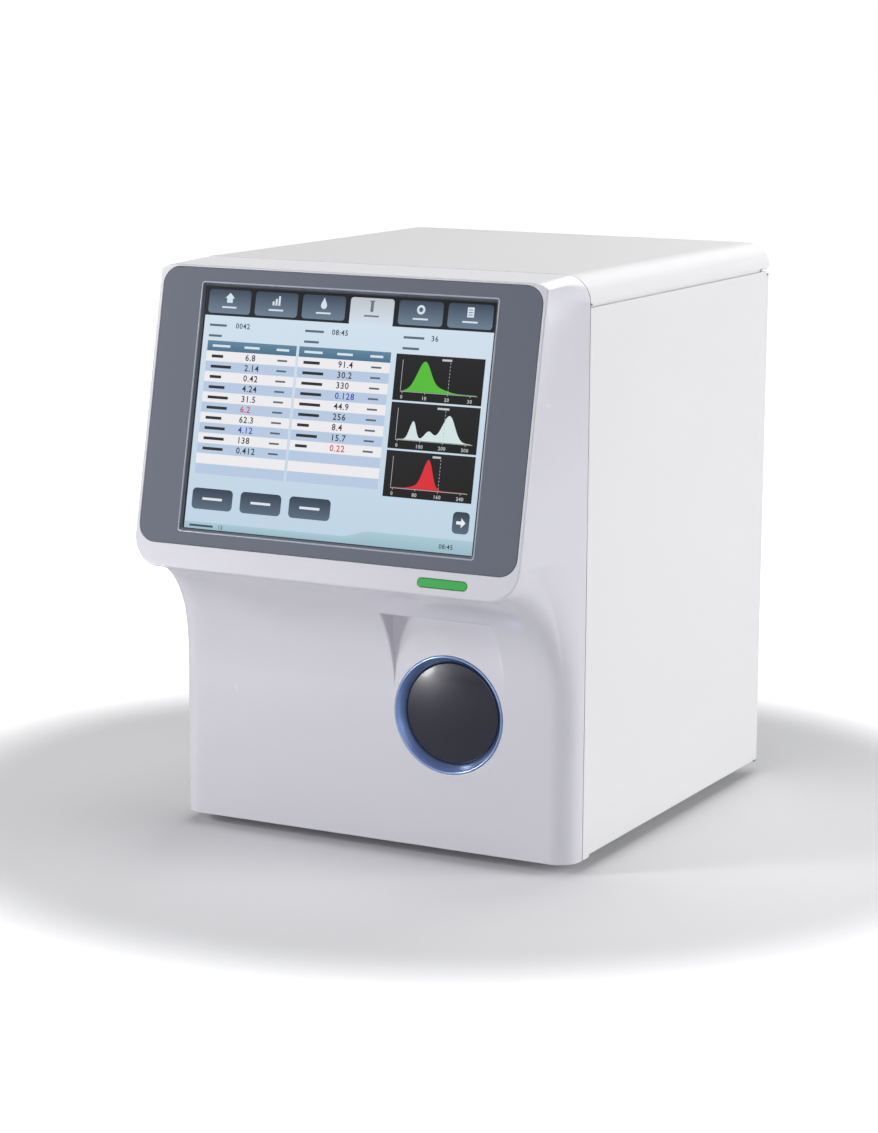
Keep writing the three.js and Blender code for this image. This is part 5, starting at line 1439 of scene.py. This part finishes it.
@dataclass
class ScreenGroup(SubAssembly):
    """The bezel, the touch panel, the display behind it, its lit picture, and a pale bead round the window
    whose colour paints the highlight of the window's edge.
    """

    finishes: ClassVar[Dressing] = dressing(
        (BEZEL_SLATE, MACHINED, "screen_bezel"), (TOUCH_GLASS, FINE, "touch_panel"),
        (ZINC, SHEET, "lcd_module display_bracket"), (BOARD, FINE, "display_board status_light_board"),
        (LENS_GREEN, MACHINED, "status_light"))
    window: tuple[float, float, float] = (219.0, 165.0, 1.5)
    bead_radius: float = 0.6
    bead_depth: float = 0.2
    bead_steps: int = 12

    def build(self) -> None:
        """Lays the pale bead that paints the window edge's highlight, and puts the picture on the panel."""
        self.bead()
        picture = ResultsPicture()
        picture.draw()
        picture.piece()

    def bead(self) -> None:
        """Runs a small round bead along the window's outline, its middle just outside the edge. Its pale
        colour paints the highlight that the window's edge catches.
        """
        wide, high, corner = self.window
        turn = np.linspace(0, 2 * np.pi, self.bead_steps, endpoint=False)
        outward = self.bead_radius * (0.5 + np.cos(turn))
        depth = self.bead_depth - self.bead_radius * np.sin(turn)
        lines = [rounded_outline(wide + 2 * out, high + 2 * out, corner + out, (0.0, Picture.rise), 6)
                 for out in outward]
        spots = np.concatenate([np.insert(line, 1, inward, axis=1) for line, inward in zip(lines, depth)])
        faces = ring_faces(np.arange(len(spots)).reshape(self.bead_steps, -1), looped=True)
        # The bead's pale finish paints the highlight along the window's edge.
        cleaned(new_piece("window_bead", HEAD.place(spots), faces, WINDOW_EDGE_HIGHLIGHT, "chassis"))


@dataclass
class SamplingKey(SubAssembly):
    """The sample key with its ring, its housing behind the cover, its spring and its switch."""

    finishes: ClassVar[Dressing] = dressing(
        (DARK_PLASTIC, MACHINED, "key_housing"), (BRIGHT, SMOOTH, "key_spring"), (BOARD, FINE, "key_switch"))
    axis: tuple[float, float, float] = (59.5, -18.8, 100.0)
    radius: float = 34.4
    recess: float = 5.6
    dome: float = 2.6
    plate: float = 4.0
    rim: float = 1.2
    stem: tuple[float, float] = (5.0, 21.2)
    ring: float = 40.0
    neck: float = 38.0
    bore: float = 34.8
    lip: float = 1.2
    proud: float = 0.6
    land: float = 1.4
    depth: float = 9.5
    steps: int = 128
    dome_steps: int = 28
    rim_steps: int = 9
    lip_steps: int = 13
    edge: float = 0.2

    def build(self) -> None:
        """Turns the domed key and its ring in place of the coarser solids."""
        for name, profile, finish, body, node in (
                ("sample_key_dome", self.key_profile(), KEY_CHARCOAL, "key_button", "sample_key"),
                ("sample_key_ring", self.ring_profile(), RING_BLUE, "chassis", "key_ring")):
            piece = new_piece(name, *revolve(profile, self.axis, self.steps), finish, body)
            cleaned(piece)
            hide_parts(node)
            soften_cut_edges(piece, self.edge)

    def key_profile(self) -> list[tuple[float, float]]:
        """Draws the key's profile: a dome that falls with the radius squared, then a round rim.

        Returns:
            Radius and depth of each point, from the dome's middle round to the stem's end.
        """
        radius = np.linspace(0, self.radius - self.rim, self.dome_steps)
        fall = self.recess - self.dome + self.dome * (radius / self.radius) ** 2
        turn = np.linspace(0, np.pi / 2, self.rim_steps)[1:]
        around = zip(self.radius - self.rim * (1 - np.sin(turn)), fall[-1] + self.rim * (1 - np.cos(turn)))
        back = self.recess + self.plate
        bore, reach = self.stem
        return [*zip(radius, fall), *around, (self.radius, back), (bore, back), (bore, reach), (0.0, reach)]

    def ring_profile(self) -> list[tuple[float, float]]:
        """Draws the ring's profile: a half round lip that stands proud, then a cone to the bore.

        Returns:
            Radius and depth of each point, all the way round the section.
        """
        turn = np.linspace(0, np.pi, self.lip_steps)
        half = self.land / 2
        lip = zip(self.ring - half + half * np.cos(turn), half * (1 - np.sin(turn)) - self.proud)
        return [(self.ring, self.lip), *lip, (self.bore, self.recess), (self.bore, self.depth),
                (self.neck, self.depth), (self.neck, self.lip)]


@dataclass
class Cabinet(SubAssembly):
    """The painted sheet panels round the body, the door and its catch, and the roof's seam lips."""

    finishes: ClassVar[Dressing] = dressing(
        (PANEL_WHITE, MOULDED, "top_cover"), (PANEL_WHITE, SHEET, "left_side_panel service_door"),
        (DARK_PLASTIC, FINE, "door_catch"))
    lip_span: tuple[float, float] = (292.0, 307.4)
    lip_round: float = 1.2
    lip_steps: int = 5
    lip_section: tuple[tuple[float, float], ...] = ((145.6, 373.9), (147.2, 373.9), (147.2, 374.5),
                                                    (148.7, 374.5), (148.7, 376.6), (145.6, 376.6))

    def build(self) -> None:
        """Carries the roof's seam lips on to its rear edge, where they close the seam at both sides."""
        across, high = np.array(self.lip_section).T
        start, end = self.lip_span
        turn = np.linspace(0, np.pi / 2, self.lip_steps)
        depth = np.concatenate([[start], end - self.lip_round * (1 - np.sin(turn))])
        shrink = np.concatenate([[0.0], self.lip_round * (1 - np.cos(turn))])
        wide = across - np.outer(shrink, across > across.min())
        shape = np.stack(np.broadcast_arrays(wide, depth[:, None], high), axis=-1).reshape(-1, 3)
        rings = np.arange(wide.size).reshape(wide.shape)
        faces = [*ring_faces(rings), rings[0, ::-1].tolist(), rings[-1].tolist()]
        faces += [[place + len(shape) for place in reversed(face)] for face in faces]
        both = np.concatenate([shape, shape * np.array([-1.0, 1.0, 1.0])])
        cleaned(new_piece("roof_seam_lips", row_frame(both), faces, PANEL_WHITE, "chassis", smooth=False))


@dataclass
class Chassis(SubAssembly):
    """The folded sheet frame that everything is screwed to, and its feet."""

    finishes: ClassVar[Dressing] = dressing(
        (ZINC, SHEET, "base_plate center_partition rear_panel sampling_plate bath_bracket"),
        # The front frame's dark grey paints the shade in the seams in front of it.
        (SEAM_SHADE_ZINC, SHEET, "front_frame"),
        (RUBBER, MACHINED, "foot_front_left foot_rear_left foot_front_right foot_rear_right"))


@dataclass
class SamplingUnit(SubAssembly):
    """The travelling carriage with its lifting probe, screws, belt and pulleys."""

    finishes: ClassVar[Dressing] = dressing(
        (BRIGHT, FINE, "travel_rail"), (BRIGHT, SMOOTH, "lift_screw sample_probe"),
        (DARK_PLASTIC, FINE, "travel_motor lift_motor"), (ALLOY, SMOOTH, "motor_pulley idler_pulley"),
        (ALLOY, FINE, "probe_carriage"), (RUBBER, SMOOTH, "travel_belt"), (NATURAL, FINE, "probe_holder"),
        (ACRYLIC, SMOOTH, "probe_wipe"))


@dataclass
class Fluidics(SubAssembly):
    """The baths, the syringes, the valves, the pumps and the vacuum chamber."""

    finishes: ClassVar[Dressing] = dressing(
        (ACRYLIC, FINE, "wbc_bath rbc_bath vacuum_chamber"), (ALLOY, FINE, "syringe_frame vacuum_pump"),
        (ACRYLIC, SMOOTH, "diluent_barrel lyse_barrel"), (NATURAL, FINE, "plunger_carrier valve_bank"),
        (BRIGHT, SMOOTH, "syringe_screw"), (DARK_PLASTIC, FINE, "syringe_motor waste_pump"))


@dataclass
class RearFittings(SubAssembly):
    """The electronics and what shows on the rear panel, with the screws that hold it."""

    finishes: ClassVar[Dressing] = dressing(
        (BOARD, FINE, "main_board"), (ZINC, FINE, "power_supply connector_block"),
        (BRIGHT, SMOOTH, "fan_guard"),
        (DARK_PLASTIC, FINE, "fan_housing fan_rotor mains_inlet power_switch power_rocker"),
        (NATURAL, FINE, "port_plate"))
    panel_face: float = 306.3
    guard_face: float = 308.1
    port_face: float = 308.3
    panel_aside: float = 137.0
    panel_heights: tuple[float, ...] = (20.0, 135.0, 225.0, 340.0)
    panel_within: float = 50.0
    panel_ends: tuple[float, float] = (18.0, 362.0)
    fan: tuple[float, float] = (-75.0, 250.0)
    fan_pitch: float = 35.75
    port_sides: tuple[float, float] = (41.5, 110.5)
    port_heights: tuple[float, float] = (88.5, 131.5)
    screw_steps: int = 24
    screw_edge: float = 0.08

    def build(self) -> None:
        """Turns the screws that hold the panel, the fan guard and the port plate."""
        pitch = (-self.fan_pitch, self.fan_pitch)
        panel = [*self.crossed((-self.panel_aside, self.panel_aside), self.panel_heights),
                 *self.crossed((-self.panel_within, self.panel_within), self.panel_ends)]
        guard = np.array(self.crossed(pitch, pitch)) + np.array(self.fan)
        ports = self.crossed(self.port_sides, self.port_heights)
        for name, spots, face, radius in (("rear_panel_screws", panel, self.panel_face, 3.0),
                                          ("fan_guard_screws", guard, self.guard_face, 3.2),
                                          ("port_plate_screws", ports, self.port_face, 2.2)):
            screws = new_piece(name, *self.screws(np.array(spots), face, radius), BRIGHT, "chassis")
            cleaned(screws)
            soften_cut_edges(screws, self.screw_edge)

    @staticmethod
    def crossed(sides: Sequence[float], heights: Sequence[float]) -> list[tuple[float, float]]:
        """Gives every place where one of the sides meets one of the heights."""
        return [(side, high) for side in sides for high in heights]

    def screws(self, spots: np.ndarray, face: float, radius: float) -> tuple[np.ndarray, list[list[int]]]:
        """Makes socket button heads on an upright face.

        Args:
            spots: n by 2, where each one stands across and up.
            face: the depth of the face that they sit on.
            radius: their heads' radius.

        Returns:
            Corners in metres and faces. Each ring stands out by its height; a round ring keeps its
            radius, and a six-sided one has the radius times the cosine of 30 degrees over the
            cosine of the angle from the nearest flat's middle.
        """
        dome = np.linspace(0, np.radians(62), 7)
        profile = [(1.0, 0.0, False), *((np.cos(turn), 0.08 + 0.52 * np.sin(turn), False) for turn in dome),
                   (0.44, 0.54, True), (0.44, 0.2, True), (0.0, 0.16, True)]
        size, stand, six = (np.array(values)[:, None] for values in zip(*profile))
        turn = np.linspace(0, 2 * np.pi, self.screw_steps, endpoint=False)
        flat = np.cos(np.pi / 6) / np.cos(turn % (np.pi / 3) - np.pi / 6)
        reach = radius * size * np.where(six, flat, 1.0)
        head = np.stack(np.broadcast_arrays(reach * np.cos(turn), radius * stand, reach * np.sin(turn)),
                        axis=-1).reshape(-1, 3)
        rings = np.arange(len(head)).reshape(len(profile), self.screw_steps)
        corners = np.insert(spots, 1, face, axis=1)[:, None, :] + head
        sides = [*ring_faces(rings), rings[0, ::-1].tolist()]
        faces = [[start + corner for corner in side] for start in range(0, corners.size // 3, len(head))
                 for side in sides]
        return row_frame(corners.reshape(-1, 3)), faces


def direction(azimuth: float, elevation: float) -> Vector:
    """Gives the way from the object to a camera or lamp.

    Args:
        azimuth: degrees to the right of straight in front.
        elevation: degrees above level.

    Returns:
        The way, one unit long.
    """
    turn, rise = np.radians([azimuth, elevation])
    return Vector((np.sin(turn) * np.cos(rise), -np.cos(turn) * np.cos(rise), np.sin(rise)))


@dataclass
class Lamp:
    """One soft white lamp, aimed at the object's middle."""

    name: str
    azimuth: float
    elevation: float
    size: float
    watts: float
    reach: float = 2.2

    def place(self, middle: Vector) -> None:
        """Adds the lamp.

        Args:
            middle: what it points at.
        """
        light = bpy.data.lights.new(self.name, "AREA")
        light.shape = "DISK"
        light.size = self.size
        light.energy = self.watts
        lamp = bpy.data.objects.new(self.name, light)
        away = direction(self.azimuth, self.elevation)
        lamp.location = middle + away * self.reach
        lamp.rotation_euler = away.to_track_quat("Z", "Y").to_euler()
        bpy.context.scene.collection.objects.link(lamp)


@dataclass
class Studio:
    """The camera at the photograph's angle, the lamps, the world and the floor."""

    azimuth: float = 27.61
    elevation: float = 10.64
    roll: float = 0.36
    distance: float = 2.2316
    lens: float = 98.46
    sensor: float = 36.0
    far: float = 50.0
    target: tuple[float, float, float] = (-0.03644, 0.03375, 0.16385)
    middle: tuple[float, float, float] = (0.0, 0.0, 0.2)
    ambient: float = 0.03
    floor_reach: float = 12.0
    floor_colour: str = "ececee"
    floor_drift: float = 0.01
    floor_roughness: float = 0.9
    shadow_reach: float = 0.34
    shadow_fade: float = 1.5
    floor_glow: float = 0.02
    lamps: tuple[Lamp, ...] = (
        Lamp("key_lamp", -44.0, 22.0, 0.45, 15.0),
        Lamp("card_lamp", -35.0, -0.5, 0.34, 10.5),
        Lamp("fill_lamp", 6.0, 3.0, 0.3, 0.5, 1.0),
        Lamp("side_lamp", 104.0, 14.0, 1.4, 31.0),
        Lamp("back_lamp", 178.0, 38.0, 1.6, 12.0),
        Lamp("top_lamp", 10.0, 80.0, 1.6, 14.0))

    def build(self) -> None:
        """Sets up everything that isn't the object."""
        scene = bpy.context.scene
        scene.view_settings.view_transform = "Standard"
        self.camera(scene)
        for lamp in self.lamps:
            lamp.place(Vector(self.middle))
        self.world(scene)
        self.floor()

    def camera(self, scene: bpy.types.Scene) -> None:
        """Places the camera.

        Args:
            scene: the scene that it looks into.
        """
        lens = bpy.data.cameras.new("photo_camera")
        lens.lens = self.lens
        lens.sensor_width = self.sensor
        lens.clip_end = self.far
        camera = bpy.data.objects.new("photo_camera", lens)
        back = direction(self.azimuth, self.elevation)
        roll = Matrix.Rotation(np.radians(self.roll), 4, "Z")
        turned = back.to_track_quat("Z", "Y").to_matrix().to_4x4() @ roll
        camera.matrix_world = Matrix.Translation(Vector(self.target) + back * self.distance) @ turned
        scene.collection.objects.link(camera)
        scene.camera = camera

    def world(self, scene: bpy.types.Scene) -> None:
        """Makes the world: a dim grey light, and white where it is seen, mirrored or seen through.

        Args:
            scene: the scene that it surrounds.
        """
        world = bpy.data.worlds.new("studio_white")
        world.use_nodes = True
        nodes = NodeTree(world.node_tree)
        rays = nodes.add("ShaderNodeLightPath").outputs
        seen = nodes.math("MAXIMUM", rays["Is Camera Ray"], rays["Is Transmission Ray"])
        shown = nodes.math("MAXIMUM", seen, rays["Is Glossy Ray"])
        colour = nodes.mixed(shown, (self.ambient, self.ambient, self.ambient, 1.0), (1.0, 1.0, 1.0, 1.0))
        nodes.feed(world.node_tree.nodes["Background"], {"Color": colour})
        scene.world = world

    def floor(self) -> None:
        """Makes the pale floor: it takes the object's shadow, and glows white past the shadow's reach."""
        paint = Paint("studio_floor")
        tone = paint.effect(Effect.TONE, Color=linear(self.floor_colour), Drift=self.floor_drift)
        away = paint.add("ShaderNodeVectorMath", {0: paint.place}, operation="LENGTH")
        fade = paint.add("ShaderNodeMapRange",
                         {"Value": away.outputs["Value"], "From Min": self.shadow_reach,
                          "From Max": self.shadow_fade * self.shadow_reach, "To Min": self.floor_glow,
                          "To Max": 1.0}, interpolation_type="SMOOTHSTEP")
        rays = paint.add("ShaderNodeLightPath").outputs
        glow = paint.math("MULTIPLY", rays["Is Camera Ray"], fade.outputs["Result"])
        paint.shader({"Base Color": tone["Color"], "Roughness": self.floor_roughness,
                      "Emission Color": (1.0, 1.0, 1.0, 1.0), "Emission Strength": glow})
        mesh = bpy.data.meshes.new("studio_floor")
        side = self.floor_reach
        corners = [(-side, -side, 0.0), (side, -side, 0.0), (side, side, 0.0), (-side, side, 0.0)]
        mesh.from_pydata(corners, [], [(0, 1, 2, 3)])
        mesh.materials.append(paint.material)
        floor = bpy.data.objects.new("studio_floor", mesh)
        bpy.context.scene.collection.objects.link(floor)


def main() -> None:
    """Builds the sub-assemblies in order, dresses them and sets up the studio."""
    logging.basicConfig(level=logging.INFO, format="%(name)s: %(message)s")
    Studio().build()
    nodes = frame["nodes"]
    for kind in (FrontCover, ScreenGroup, SamplingKey, Cabinet, Chassis, SamplingUnit, Fluidics,
                 RearFittings):
        part = kind(nodes)
        part.build()
        part.dress()
        log.info("%s done", kind.__name__)


if __name__ == "__main__":
    main()
